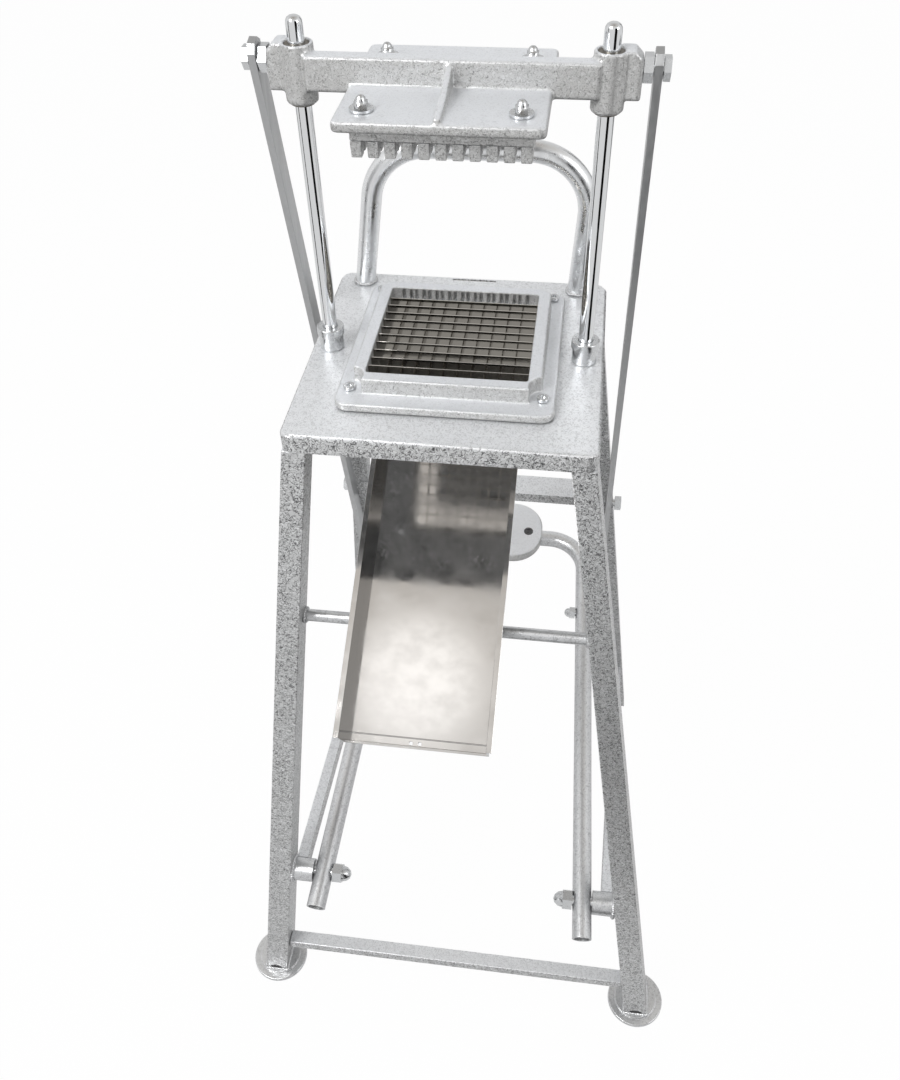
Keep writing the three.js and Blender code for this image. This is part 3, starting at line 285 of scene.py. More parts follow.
wire(tree, where.outputs["Object"], patches.inputs["Vector"])
coarser = math_node(tree, "MULTIPLY", ends_in.outputs["Scale"], patch_scale)
wire(tree, coarser, patches.inputs["Scale"])
breaks = math_node(tree, "SUBTRACT", patches.outputs["Fac"], patch_level)
breaks = math_node(tree, "MULTIPLY", breaks, patch_contrast, True)
facing = tree.nodes.new("ShaderNodeNewGeometry")
normal_parts = tree.nodes.new("ShaderNodeSeparateXYZ")
wire(tree, facing.outputs["Normal"], normal_parts.inputs[0])
upward = math_node(tree, "MAXIMUM", normal_parts.outputs["Z"], 0.0)
upward = math_node(tree, "MULTIPLY", upward, upward)
# Mask for painted shade: the more a face points down, the darker its paint is made.
under = math_node(tree, "MULTIPLY", normal_parts.outputs["Z"], shade_under_reach, True)
loss = math_node(tree, "SUBTRACT", 1.0, ends_in.outputs["Top share"])
loss = math_node(tree, "MULTIPLY", upward, loss)
share = math_node(tree, "SUBTRACT", 1.0, loss)
share = math_node(tree, "MULTIPLY", share, ends_in.outputs["Strength"])
veins = math_node(tree, "MULTIPLY", math_node(tree, "MULTIPLY", line, breaks), share, True)
flecks = math_node(tree, "MULTIPLY", math_node(tree, "MULTIPLY", pale, fleck_share), share, True)
wire(tree, veins, ends_out.inputs["Veins"])
wire(tree, flecks, ends_out.inputs["Flecks"])
wire(tree, upward, ends_out.inputs["Upward"])
wire(tree, under, ends_out.inputs["Under"])
wire(tree, math_node(tree, "SUBTRACT", 1.0, veins), ends_out.inputs["Height"])


# Share of the paint colour left on downward faces, which gives them painted shade.
painted_shade_share = 0.12
paint_relief = 0.0006


def painted(name, colour, painted_top_light, vein_colour, scale, width, strength, roughness, metallic,
            top_share=0.3, depth=0.25, fleck_glint_colour=(0.95, 0.96, 0.97)):
    """Paint with veins and flecks, with painted light that makes upward faces paler and painted
    shade that makes downward faces darker; the pale flecks are partly pattern and partly painted
    glints.
    """
    material, tree = new_material(name)
    shader = tree.nodes.new("ShaderNodeBsdfPrincipled")
    output = tree.nodes.new("ShaderNodeOutputMaterial")
    pattern = tree.nodes.new("ShaderNodeGroup")
    pattern.node_tree = hammer_veins
    pattern.inputs["Scale"].default_value = scale
    pattern.inputs["Width"].default_value = width
    pattern.inputs["Strength"].default_value = strength
    pattern.inputs["Top share"].default_value = top_share
    tone = (*colour, 1)
    painted_shade_colour = [share * painted_shade_share for share in colour]
    # The top colour is painted light: upward faces are made paler, as where light falls from above.
    for mask, added in (("Upward", painted_top_light), ("Under", painted_shade_colour),
                        ("Flecks", fleck_glint_colour), ("Veins", vein_colour)):
        blend = tree.nodes.new("ShaderNodeMix")
        blend.data_type = "RGBA"
        if isinstance(tone, tuple):
            blend.inputs[6].default_value = tone
        else:
            wire(tree, tone, blend.inputs[6])
        blend.inputs[7].default_value = (*added, 1)
        wire(tree, pattern.outputs[mask], blend.inputs[0])
        tone = blend.outputs[2]
    bump = tree.nodes.new("ShaderNodeBump")
    bump.inputs["Strength"].default_value = depth
    bump.inputs["Distance"].default_value = paint_relief
    shader.inputs["Roughness"].default_value = roughness
    shader.inputs["Metallic"].default_value = metallic
    wire(tree, tone, shader.inputs["Base Color"])
    wire(tree, pattern.outputs["Height"], bump.inputs["Height"])
    wire(tree, bump.outputs["Normal"], shader.inputs["Normal"])
    wire(tree, shader.outputs[0], output.inputs["Surface"])
    return material


join_distance = 1e-6
flat_within = math.radians(1.5)


def merged_copy(node):
    """A CAD node's loose triangles, joined and cleared of edges on flat faces."""
    mesh = frame["nodes"][node].data.copy()
    mesh.materials.clear()
    form = bmesh.new()
    form.from_mesh(mesh)
    bmesh.ops.remove_doubles(form, verts=form.verts, dist=join_distance)
    bmesh.ops.dissolve_limit(form, angle_limit=flat_within, verts=form.verts, edges=form.edges)
    form.to_mesh(mesh)
    form.free()
    return link_object(node + "_finish", mesh)


def baked(piece):
    """Makes the result of a piece's modifiers its plain mesh."""
    view = bpy.context.evaluated_depsgraph_get()
    result = bpy.data.meshes.new_from_object(piece.evaluated_get(view), depsgraph=view)
    piece.modifiers.clear()
    piece.data = result
    return piece


shade_over = 10


def rounded(piece, edge, angle=35.0, segments=3):
    """Rounds edges sharper than the angle, then shades the piece smooth between them."""
    if edge:
        bevel = piece.modifiers.new("round edges", "BEVEL")
        bevel.width = edge
        bevel.segments = segments
        bevel.limit_method = "ANGLE"
        bevel.angle_limit = math.radians(angle)
        bevel.use_clamp_overlap = True
        baked(piece)
    piece.data.shade_smooth()
    piece.data.set_sharp_from_angle(angle=math.radians(angle + shade_over))
    weighted = piece.modifiers.new("flat faces stay flat", "WEIGHTED_NORMAL")
    weighted.keep_sharp = True
    return baked(piece)


def settle(piece, material, *nodes):
    """Gives a piece its material and the body of its CAD node, and hides that node."""
    piece.data.materials.clear()
    piece.data.materials.append(material)
    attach(piece, bodies[nodes[0]])
    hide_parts(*nodes)
    return piece


# The hammer paint's second colour is painted light on upward faces, and its downward faces get
# painted shade.
hammer_paint = painted("silver hammer paint",
                       (0.66, 0.665, 0.67), (0.86, 0.875, 0.895), (0.012, 0.012, 0.014),
                       scale=430.0, width=0.07, strength=1.0, roughness=0.36, metallic=0.5)
sheet_crease = 50.0
settle(rounded(merged_copy("table_top"), 0, sheet_crease), hammer_paint, "table_top")


# Legs and the bars between them: folded and drawn box steel, welded together and to the
# tray, and an angle bolted across the rear legs. All have the same hammer paint, and the
# folding has rounded their long edges.
edge_of_fold = 0.0016
for node in ("front_leg_left", "front_leg_right", "rear_leg_left", "rear_leg_right",
             "front_stretcher", "side_stretcher_left", "side_stretcher_right", "rear_rail"):
    settle(rounded(merged_copy(node), edge_of_fold, sheet_crease), hammer_paint, node)


# Feet: round plates with a raised middle under each front leg, turned from bar and
# painted satin silver.
# The satin silver paint's second colour is painted light on upward faces, and its downward faces
# get painted shade.
satin_silver = painted("satin silver paint",
                       (0.6, 0.605, 0.615), (0.76, 0.77, 0.78), (0.12, 0.12, 0.125),
                       scale=260.0, width=0.05, strength=0.5, roughness=0.32, metallic=0.8,
                       top_share=0.6)


def turned_mesh(name, profile, sides=64):
    """Sweeps a profile of (radius, height) points once round Z."""
    form = bmesh.new()
    rings = []
    for radius, height in profile:
        if radius == 0:
            rings.append([form.verts.new((0, 0, height))])
            continue
        ring = []
        for step in range(sides):
            angle = 2 * math.pi * step / sides
            place = (radius * math.cos(angle), radius * math.sin(angle), height)
            ring.append(form.verts.new(place))
        rings.append(ring)
    for low, high in zip(rings, rings[1:]):
        for step in range(sides):
            after = (step + 1) % sides
            face = [low[step % len(low)], low[after % len(low)],
                    high[after % len(high)], high[step % len(high)]]
            form.faces.new(list(dict.fromkeys(face)))
    bmesh.ops.recalc_face_normals(form, faces=form.faces)
    mesh = bpy.data.meshes.new(name)
    form.to_mesh(mesh)
    form.free()
    return mesh


def soft_corner(x0, y0, x1, y1, x2, y2, radius, steps=4):
    """Points that round off the corner (x1, y1) of a profile by about the radius."""
    before = Vector((x0 - x1, y0 - y1)).normalized() * radius
    after = Vector((x2 - x1, y2 - y1)).normalized() * radius
    corner = Vector((x1, y1))
    points = []
    for step in range(steps + 1):
        part = step / steps
        point = ((corner + before) * (1 - part) ** 2 + corner * 2 * part * (1 - part)
                 + (corner + after) * part ** 2)
        points.append((point.x, point.y))
    return points


def soft_profile(points, radii):
    """A profile with each corner between its ends rounded off by its own radius."""
    profile = [points[0]]
    for index in range(1, len(points) - 1):
        radius = radii[index - 1]
        if radius == 0:
            profile.append(points[index])
        else:
            profile += soft_corner(*points[index - 1], *points[index], *points[index + 1], radius)
    profile.append(points[-1])
    return profile


foot_radius = 0.033
foot_plate = 0.005
foot_step_radius = 0.025
foot_step = 0.002
foot_corners = [0.0006, 0.0014, 0.0008, 0.0009]
foot_sides = 96
round_crease = 40.0
foot_profile = soft_profile(
    [(0, 0), (foot_radius, 0), (foot_radius, foot_plate), (foot_step_radius, foot_plate),
     (foot_step_radius, foot_plate + foot_step), (0, foot_plate + foot_step)],
    foot_corners)
for side in ("left", "right"):
    node = f"front_foot_{side}"
    low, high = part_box(node)
    foot = link_object(node + "_finish", turned_mesh(node, foot_profile, foot_sides))
    foot.data.transform(Matrix.Translation(((low.x + high.x) / 2, (low.y + high.y) / 2, 0)))
    settle(rounded(foot, 0, round_crease), satin_silver, node)


# Weld beads: rows of overlapping drops round the feet, the chute rod, the hoop and the
# pivot bosses, where these join the frame. One tree of nodes lays them along a line, and
# all are painted satin silver.
drop_least = (0.85, 0.85, 0.85)
drop_most = (1.2, 1.2, 1.1)
drop_seed = 7
bead_tree = bpy.data.node_groups.new("weld bead", "GeometryNodeTree")
put_socket(bead_tree, "Geometry", "INPUT", "NodeSocketGeometry")
put_socket(bead_tree, "Spacing", "INPUT", "NodeSocketFloat", 0.0022)
put_socket(bead_tree, "Radius", "INPUT", "NodeSocketFloat", 0.0024)
put_socket(bead_tree, "Paint", "INPUT", "NodeSocketMaterial")
put_socket(bead_tree, "Geometry", "OUTPUT", "NodeSocketGeometry")
tree = bead_tree
ends_in = tree.nodes.new("NodeGroupInput")
ends_out = tree.nodes.new("NodeGroupOutput")
to_curve = tree.nodes.new("GeometryNodeMeshToCurve")
spread = tree.nodes.new("GeometryNodeResampleCurve")
spread.mode = "LENGTH"
drop = tree.nodes.new("GeometryNodeMeshIcoSphere")
drop.inputs["Subdivisions"].default_value = 2
lay = tree.nodes.new("GeometryNodeInstanceOnPoints")
sizes = tree.nodes.new("FunctionNodeRandomValue")
sizes.data_type = "FLOAT_VECTOR"
sizes.inputs[0].default_value = drop_least
sizes.inputs[1].default_value = drop_most
sizes.inputs["Seed"].default_value = drop_seed
realize = tree.nodes.new("GeometryNodeRealizeInstances")
finish = tree.nodes.new("GeometryNodeSetMaterial")
wire(tree, ends_in.outputs["Geometry"], to_curve.inputs[0])
wire(tree, to_curve.outputs[0], spread.inputs["Curve"])
wire(tree, ends_in.outputs["Spacing"], spread.inputs["Length"])
wire(tree, ends_in.outputs["Radius"], drop.inputs["Radius"])
wire(tree, spread.outputs[0], lay.inputs["Points"])
wire(tree, drop.outputs["Mesh"], lay.inputs["Instance"])
wire(tree, sizes.outputs[0], lay.inputs["Scale"])
wire(tree, lay.outputs[0], realize.inputs[0])
wire(tree, realize.outputs[0], finish.inputs["Geometry"])
wire(tree, ends_in.outputs["Paint"], finish.inputs["Material"])
wire(tree, finish.outputs[0], ends_out.inputs[0])


def set_input(modifier, tree, name, value):
    for item in tree.interface.items_tree:
        if item.item_type == "SOCKET" and item.in_out == "INPUT" and item.name == name:
            modifier[item.identifier] = value


drop_spacing = 0.95


def weld_lines(name, loops, radius, material, body):
    """Beads of one drop radius along closed loops of points."""
    places = [point for loop in loops for point in loop]
    edges = []
    first = 0
    for loop in loops:
        edges += [(first + step, first + (step + 1) % len(loop)) for step in range(len(loop))]
        first += len(loop)
    mesh = bpy.data.meshes.new(name)
    mesh.from_pydata(places, edges, [])
    bead = link_object(name, mesh)
    maker = bead.modifiers.new("weld bead", "NODES")
    maker.node_group = bead_tree
    set_input(maker, bead_tree, "Spacing", radius * drop_spacing)
    set_input(maker, bead_tree, "Radius", radius)
    set_input(maker, bead_tree, "Paint", material)
    baked(bead)
    bead.data.shade_smooth()
    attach(bead, body)
    return bead


leg_foot_half = (0.0135, 0.02)
foot_bead = 0.0022
foot_bead_lift = 0.0004
leg_base = foot_plate + foot_step + foot_bead_lift
foot_loops = []
for side in (-1, 1):
    low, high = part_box("front_foot_left" if side < 0 else "front_foot_right")
    x = (low.x + high.x) / 2
    y = (low.y + high.y) / 2
    w, d = leg_foot_half
    foot_loops.append([Vector((x + a * w, y + b * d, leg_base))
                       for a, b in ((-1, -1), (1, -1), (1, 1), (-1, 1))])
weld_lines("foot_welds", foot_loops, foot_bead, satin_silver, "base")


# Chute rod: a plain round bar under the chute, which rests on it. It is welded between
# the front legs with a bead round each end, and painted satin silver.
def circle_points(centre, radius, axis, count=40):
    swing = Vector((0, 0, 1)).rotation_difference(Vector(axis)).to_matrix()
    points = []
    for step in range(count):
        angle = 2 * math.pi * step / count
        spoke = Vector((radius * math.cos(angle), radius * math.sin(angle), 0))
        points.append(Vector(centre) + swing @ spoke)
    return points


def tube_mesh(name, stations, radius, wall, sides=40, first=None, last=None):
    """A round tube, or a bar when wall is 0, along a list of points."""
    count = len(stations)
    tangents = []
    for index in range(count):
        before = stations[max(index - 1, 0)]
        after = stations[min(index + 1, count - 1)]
        tangents.append((after - before).normalized())
    if first is not None:
        tangents[0] = first
    if last is not None:
        tangents[-1] = last
    across = tangents[0].orthogonal().normalized()
    form = bmesh.new()
    skins = [radius] if wall == 0 else [radius, radius - wall]
    rings = [[] for _ in skins]
    for place, tangent in zip(stations, tangents):
        across = (across - tangent * across.dot(tangent)).normalized()
        beside = tangent.cross(across)
        for rows, size in zip(rings, skins):
            ring = []
            for step in range(sides):
                angle = 2 * math.pi * step / sides
                spoke = (across * math.cos(angle) + beside * math.sin(angle)) * size
                ring.append(form.verts.new(place + spoke))
            rows.append(ring)
    for rows in rings:
        for low, high in zip(rows, rows[1:]):
            for step in range(sides):
                after = (step + 1) % sides
                form.faces.new((low[step], low[after], high[after], high[step]))
    for end in (0, -1):
        if wall == 0:
            form.faces.new(rings[0][end])
            continue
        for step in range(sides):
            after = (step + 1) % sides
            form.faces.new((rings[0][end][step], rings[0][end][after],
                            rings[1][end][after], rings[1][end][step]))
    bmesh.ops.recalc_face_normals(form, faces=form.faces)
    mesh = bpy.data.meshes.new(name)
    form.to_mesh(mesh)
    form.free()
    return mesh


chute_rod_radius = 0.005
chute_rod_sides = 32
rod_bead = 0.0021
rod_bead_circle = 0.0052
rod_bead_inset = 0.0016
low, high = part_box("chute_rod")
rod_y = (low.y + high.y) / 2
rod_z = (low.z + high.z) / 2
rod_ends = [Vector((low.x, rod_y, rod_z)), Vector((high.x, rod_y, rod_z))]
rod_mesh = tube_mesh("chute rod", rod_ends, chute_rod_radius, 0, chute_rod_sides)
chute_rod = link_object("chute_rod_finish", rod_mesh)
settle(rounded(chute_rod, 0, round_crease), satin_silver, "chute_rod")
weld_lines("chute_rod_welds",
           [circle_points((x, rod_y, rod_z), rod_bead_circle, (1, 0, 0))
            for x in (low.x + rod_bead_inset, high.x - rod_bead_inset)],
           rod_bead, satin_silver, "base")


# Chute: a trough folded from polished stainless sheet, which lies on its rod and hooks
# into the table's slot. The tops of its side walls and its lower end are rolled over, so
# that no raw edge meets the hand.
metal_grain = bpy.data.node_groups.new("metal grain", "ShaderNodeTree")
put_socket(metal_grain, "Stretch", "INPUT", "NodeSocketVector", (1.0, 1.0, 1.0))
put_socket(metal_grain, "Low", "INPUT", "NodeSocketFloat", 0.1)
put_socket(metal_grain, "High", "INPUT", "NodeSocketFloat", 0.2)
put_socket(metal_grain, "Roughness", "OUTPUT", "NodeSocketFloat")
put_socket(metal_grain, "Height", "OUTPUT", "NodeSocketFloat")
tree = metal_grain
ends_in = tree.nodes.new("NodeGroupInput")
ends_out = tree.nodes.new("NodeGroupOutput")
where = tree.nodes.new("ShaderNodeTexCoord")
stretch = tree.nodes.new("ShaderNodeVectorMath")
stretch.operation = "MULTIPLY"
grain = tree.nodes.new("ShaderNodeTexNoise")
grain.inputs["Scale"].default_value = 1.0
grain.inputs["Detail"].default_value = 3.0
range_node = tree.nodes.new("ShaderNodeMapRange")
range_node.inputs["From Min"].default_value = 0.3
range_node.inputs["From Max"].default_value = 0.7
wire(tree, where.outputs["Object"], stretch.inputs[0])
wire(tree, ends_in.outputs["Stretch"], stretch.inputs[1])
wire(tree, stretch.outputs[0], grain.inputs["Vector"])
wire(tree, grain.outputs["Fac"], range_node.inputs["Value"])
wire(tree, ends_in.outputs["Low"], range_node.inputs["To Min"])
wire(tree, ends_in.outputs["High"], range_node.inputs["To Max"])
wire(tree, range_node.outputs[0], ends_out.inputs["Roughness"])
wire(tree, grain.outputs["Fac"], ends_out.inputs["Height"])


grain_relief = 0.0003
steep_from = 0.45
steep_to = 0.8


def bare_metal(name, colour, low, high, stretch, depth=0.0, painted_steep_dark=None):
    """Metal with a grain of roughness low to high, and a painted darker tone on steep faces that
    stands in for shade and dark reflections.
    """
    material, tree = new_material(name)
    shader = tree.nodes.new("ShaderNodeBsdfPrincipled")
    output = tree.nodes.new("ShaderNodeOutputMaterial")
    pattern = tree.nodes.new("ShaderNodeGroup")
    pattern.node_tree = metal_grain
    pattern.inputs["Stretch"].default_value = stretch
    pattern.inputs["Low"].default_value = low
    pattern.inputs["High"].default_value = high
    shader.inputs["Base Color"].default_value = (*colour, 1)
    shader.inputs["Metallic"].default_value = 1.0
    # Steep faces are given a painted darker tone, standing in for shade and dark reflections.
    if painted_steep_dark is not None:
        facing = tree.nodes.new("ShaderNodeNewGeometry")
        parts = tree.nodes.new("ShaderNodeSeparateXYZ")
        steep = tree.nodes.new("ShaderNodeMapRange")
        steep.inputs["From Min"].default_value = steep_from
        steep.inputs["From Max"].default_value = steep_to
        steep.inputs["To Min"].default_value = 1.0
        steep.inputs["To Max"].default_value = 0.0
        blend = tree.nodes.new("ShaderNodeMix")
        blend.data_type = "RGBA"
        blend.inputs[6].default_value = (*colour, 1)
        blend.inputs[7].default_value = (*painted_steep_dark, 1)
        wire(tree, facing.outputs["True Normal"], parts.inputs[0])
        wire(tree, parts.outputs["Z"], steep.inputs["Value"])
        wire(tree, steep.outputs[0], blend.inputs[0])
        wire(tree, blend.outputs[2], shader.inputs["Base Color"])
    wire(tree, pattern.outputs["Roughness"], shader.inputs["Roughness"])
    if depth:
        bump = tree.nodes.new("ShaderNodeBump")
        bump.inputs["Strength"].default_value = depth
        bump.inputs["Distance"].default_value = grain_relief
        wire(tree, pattern.outputs["Height"], bump.inputs["Height"])
        wire(tree, bump.outputs["Normal"], shader.inputs["Normal"])
    wire(tree, shader.outputs[0], output.inputs["Surface"])
    return material


# The chute's walls are steep, so they take the painted dark tone: a painted dark reflection on the
# polished sheet.
polished_sheet = bare_metal("polished sheet", (0.88, 0.865, 0.85), 0.05, 0.16, (60.0, 8.0, 160.0),
                            painted_steep_dark=(0.17, 0.17, 0.17))
fold_edge = 0.0006
fold_angle = math.radians(60)
chute = merged_copy("chute")
folds = chute.modifiers.new("folds", "BEVEL")
folds.width = fold_edge
folds.segments = 2
folds.limit_method = "ANGLE"
folds.angle_limit = fold_angle
baked(chute).data.shade_flat()
settle(chute, polished_sheet, "chute")

low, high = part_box("chute")
slope = math.radians(28)
wall_top = 0.0345
wall_roll = 0.0015
end_roll = 0.0014
band_roll = 0.0006
half_width = 0.0605
low_end = -0.1
roll_short = 0.003
end_half = 0.0565
end_roll_z = 0.0053
band_width = 0.008
band_roll_z = 0.0063
chute_middle = -0.012
roll_sides = 20
wall_x = half_width - wall_roll
wall_z = wall_top - wall_roll
high_end = (high.y - rod_y + wall_z * math.sin(slope)) / math.cos(slope) - roll_short
end_y = low_end + end_roll
band_y = low_end + band_width
rolls = bmesh.new()
for start, end, radius in (
    ((-wall_x, low_end, wall_z), (-wall_x, high_end, wall_z), wall_roll),
    ((wall_x, low_end, wall_z), (wall_x, high_end, wall_z), wall_roll),
    ((-end_half, end_y, end_roll_z), (end_half, end_y, end_roll_z), end_roll),
    ((-end_half, band_y, band_roll_z), (end_half, band_y, band_roll_z), band_roll),
):
    roll = tube_mesh("roll", [Vector(start), Vector(end)], radius, 0, roll_sides)
    rolls.from_mesh(roll)
    bpy.data.meshes.remove(roll)
roll_mesh = bpy.data.meshes.new("chute rolls")
rolls.to_mesh(roll_mesh)
rolls.free()
chute_place = Matrix.Translation((chute_middle, rod_y, rod_z)) @ Matrix.Rotation(slope, 4, "X")
roll_mesh.transform(chute_place)
chute_rolls = link_object("chute_rolls", roll_mesh)
chute_rolls.data.materials.append(polished_sheet)
chute_rolls.data.shade_smooth()
chute_rolls.data.set_sharp_from_angle(angle=math.radians(sheet_crease))
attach(chute_rolls, bodies["chute"])


# Guide rods: hard chrome on ground bar, with rounded tips. A turned collar with a ring at
# its top stands round each rod on the table, and a nut holds the rod from below.
chrome = bare_metal("chrome", (0.78, 0.79, 0.8), 0.04, 0.08, (40.0, 40.0, 40.0))
bright_zinc = bare_metal("bright zinc", (0.66, 0.67, 0.68), 0.18, 0.32, (300.0, 300.0, 300.0))
rod_radius = 0.00525
rod_tip = 0.0046
rod_foot = 0.0006
collar_radius = 0.01
collar_neck = 0.0089
collar_ring = 0.0062
collar_bore = rod_radius + 0.00015
collar_corners = [0.0004, 0.0004, 0.0004, 0.0011, 0.0005]


def smooth_node(node, material, angle=35.0, edge=0.0):
    return settle(rounded(merged_copy(node), edge, angle), material, node)


for side in ("left", "right"):
    node = f"guide_rod_{side}"
    low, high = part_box(node)
    middle = Matrix.Translation(((low.x + high.x) / 2, (low.y + high.y) / 2, 0))
    profile = soft_profile(
        [(0, low.z), (rod_radius, low.z), (rod_radius, high.z), (0, high.z)], [rod_foot, rod_tip])
    rod = link_object(node + "_finish", turned_mesh(node, profile))
    rod.data.transform(middle)
    settle(rounded(rod, 0, round_crease), chrome, node)

    node = f"rod_collar_{side}"
    low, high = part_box(node)
    step = high.z - collar_ring
    profile = soft_profile(
        [(collar_bore, low.z), (collar_neck, low.z), (collar_neck, step), (collar_radius, step),
         (collar_radius, high.z), (collar_bore, high.z), (collar_bore, low.z)],
        collar_corners)
    collar = link_object(node + "_finish", turned_mesh(node, profile))
    collar.data.transform(middle)
    settle(rounded(collar, 0, round_crease), bright_zinc, node)
    smooth_node(f"rod_nut_{side}", bright_zinc)


# Hoop: bent tube behind the blade frame, bright plated, welded to the table at both
# ends. Both its legs lean to the right.
def bent_route(corners, radius, steps=20):
    """The middle line of a tube that is bent at each corner to one radius."""
    route = [corners[0]]
    for index in range(1, len(corners) - 1):
        corner = corners[index]
        back = (corners[index - 1] - corner).normalized()
        ahead = (corners[index + 1] - corner).normalized()
        inside = back.angle(ahead)
        reach = radius / math.tan(inside / 2)
        centre = corner + (back + ahead).normalized() * (radius / math.sin(inside / 2))
        start = corner + back * reach - centre
        stop = corner + ahead * reach - centre
        turn = math.pi - inside
        for step in range(steps + 1):
            part = step / steps
            point = start * (math.sin((1 - part) * turn) / math.sin(turn))
            route.append(centre + point + stop * (math.sin(part * turn) / math.sin(turn)))
    route.append(corners[-1])
    return route


shift_y = -0.0902756
table_z = 0.856
hoop_y = 0.0965 + shift_y
hoop_seat = table_z + 0.0003
hoop_top = table_z + 0.112
hoop_feet = (-0.0869, 0.0852)
hoop_shoulders = (-0.071, 0.0915)
hoop_bend = 0.045
hoop_radius = 0.008
hoop_wall = 0.002
hoop_sides = 40
hoop_bead = 0.0014
hoop_bead_circle = 0.0083
hoop_bead_lift = 0.0006
up = Vector((0, 0, 1))
hoop_corners = [Vector((hoop_feet[0], hoop_y, hoop_seat)),
                Vector((hoop_shoulders[0], hoop_y, hoop_top)),
                Vector((hoop_shoulders[1], hoop_y, hoop_top)),
                Vector((hoop_feet[1], hoop_y, hoop_seat))]
hoop_route = bent_route(hoop_corners, hoop_bend)
hoop_mesh = tube_mesh("hoop", hoop_route, hoop_radius, hoop_wall, hoop_sides, first=up, last=-up)
soft_chrome = bare_metal("satin chrome", (0.86, 0.87, 0.88), 0.22, 0.4, (160.0, 160.0, 160.0), 0.08)
settle(rounded(link_object("hoop_finish", hoop_mesh), 0, round_crease), soft_chrome, "hoop")
weld_lines("hoop_welds",
           [circle_points((x, hoop_y, hoop_seat + hoop_bead_lift), hoop_bead_circle, up)
            for x in hoop_feet],
           hoop_bead, satin_silver, "base")


# Blade frame: a sand casting with a raised rim round the window, held by a screw in each
# corner. Narrow grooves down the inner walls of the rim stand beside each blade, and the
# blades are polished strips of steel in two crossed layers.
# The cast aluminium's second colour is painted light on upward faces, and its downward faces get
# painted shade.
cast_skin = painted("cast aluminium",
                    (0.62, 0.62, 0.615), (0.84, 0.86, 0.89), (0.08, 0.08, 0.08),
                    scale=560.0, width=0.04, strength=0.7, roughness=0.38, metallic=0.6,
                    depth=0.6)


def cast(piece, grain, passes):
    """Gives a piece the soft corners and fillets of a casting."""
    grid = piece.modifiers.new("cast surface", "REMESH")
    grid.mode = "VOXEL"
    grid.voxel_size = grain
    ease = piece.modifiers.new("soft fillets", "SMOOTH")
    ease.factor = 0.5
    ease.iterations = passes
    baked(piece)
    piece.data.shade_smooth()
    return piece


def add_box(form, low, high):
    corners = [form.verts.new((x, y, z))
               for x in (low[0], high[0]) for y in (low[1], high[1]) for z in (low[2], high[2])]
    for face in ((0, 1, 3, 2), (4, 6, 7, 5), (0, 4, 5, 1),
                 (2, 3, 7, 6), (0, 2, 6, 4), (1, 5, 7, 3)):
        form.faces.new([corners[index] for index in face])


comb_groove = 0.0022
comb_half_pitch = 0.0029
comb_depth = 0.0045
comb_start = 0.001
comb_bottom = 0.0103
comb_top = 0.0016
blade_pitch = 0.01
blade_count = 10
window_half = 0.0565
rim_top = table_z + 0.0188
comb_form = bmesh.new()
for index in range(blade_count):
    for offset in (-comb_half_pitch, comb_half_pitch):
        place = (index - (blade_count - 1) / 2) * blade_pitch + offset
        for side in (-1, 1):
            near = side * (window_half - comb_start) + shift_y
            far = side * (window_half + comb_depth) + shift_y
            add_box(comb_form, (place - comb_groove / 2, min(near, far), rim_top - comb_bottom),
                    (place + comb_groove / 2, max(near, far), rim_top - comb_top))
comb_mesh = bpy.data.meshes.new("comb slots")
comb_form.to_mesh(comb_mesh)
comb_form.free()
comb = link_object("comb_slots", comb_mesh)
blade_frame = merged_copy("blade_frame")
cutter = blade_frame.modifiers.new("comb slots", "BOOLEAN")
cutter.operation = "DIFFERENCE"
cutter.solver = "EXACT"
cutter.object = comb
baked(blade_frame)
bpy.data.objects.remove(comb)
settle(cast(blade_frame, grain=0.0008, passes=2), cast_skin, "blade_frame")

# The blades' steep sides take a painted shade colour, so their upward edges stand out pale.
blade_steel = bare_metal("blade steel", (0.62, 0.59, 0.54), 0.06, 0.16, (250.0, 250.0, 250.0),
                         painted_steep_dark=(0.27, 0.255, 0.23))
for node in ("blades_along", "blades_across"):
    solid = frame["nodes"][node]
    solid.data.materials.clear()
    solid.data.materials.append(blade_steel)

screw_shank = 0.0025
screw_head = 0.0042
screw_head_height = 0.0026
screw_recess = 0.0019
screw_recess_depth = 0.0018
screw_corners = [0.0004, 0, 0.0002, 0.0009, 0.0002, 0]
screw_sides = 40
for end in ("front", "back"):
    for side in ("left", "right"):
        node = f"frame_screw_{end}_{side}"
        low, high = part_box(node)
        place = Matrix.Translation(((low.x + high.x) / 2, (low.y + high.y) / 2, 0))
        seat = high.z - screw_head_height
        recess = high.z - screw_recess_depth
        screw_profile = soft_profile(
            [(0, low.z), (screw_shank, low.z), (screw_shank, seat), (screw_head, seat),
             (screw_head, high.z), (screw_recess, high.z), (screw_recess, recess), (0, recess)],
            screw_corners)
        screw = link_object(node + "_finish", turned_mesh(node, screw_profile, screw_sides))
        screw.data.transform(place)
        settle(rounded(screw, 0, round_crease), bright_zinc, node)


# Crosshead: one sand casting of two hubs, the beam between them, the pressing plate and
# its two ribs. Bronze bushes in the hubs run on the rods.
settle(cast(merged_copy("crosshead"), grain=0.00095, passes=5), cast_skin, "crosshead")
bronze = bare_metal("bush bronze", (0.2, 0.185, 0.16), 0.35, 0.5, (200.0, 200.0, 200.0))
for side in ("left", "right"):
    smooth_node(f"guide_bush_{side}", bronze)


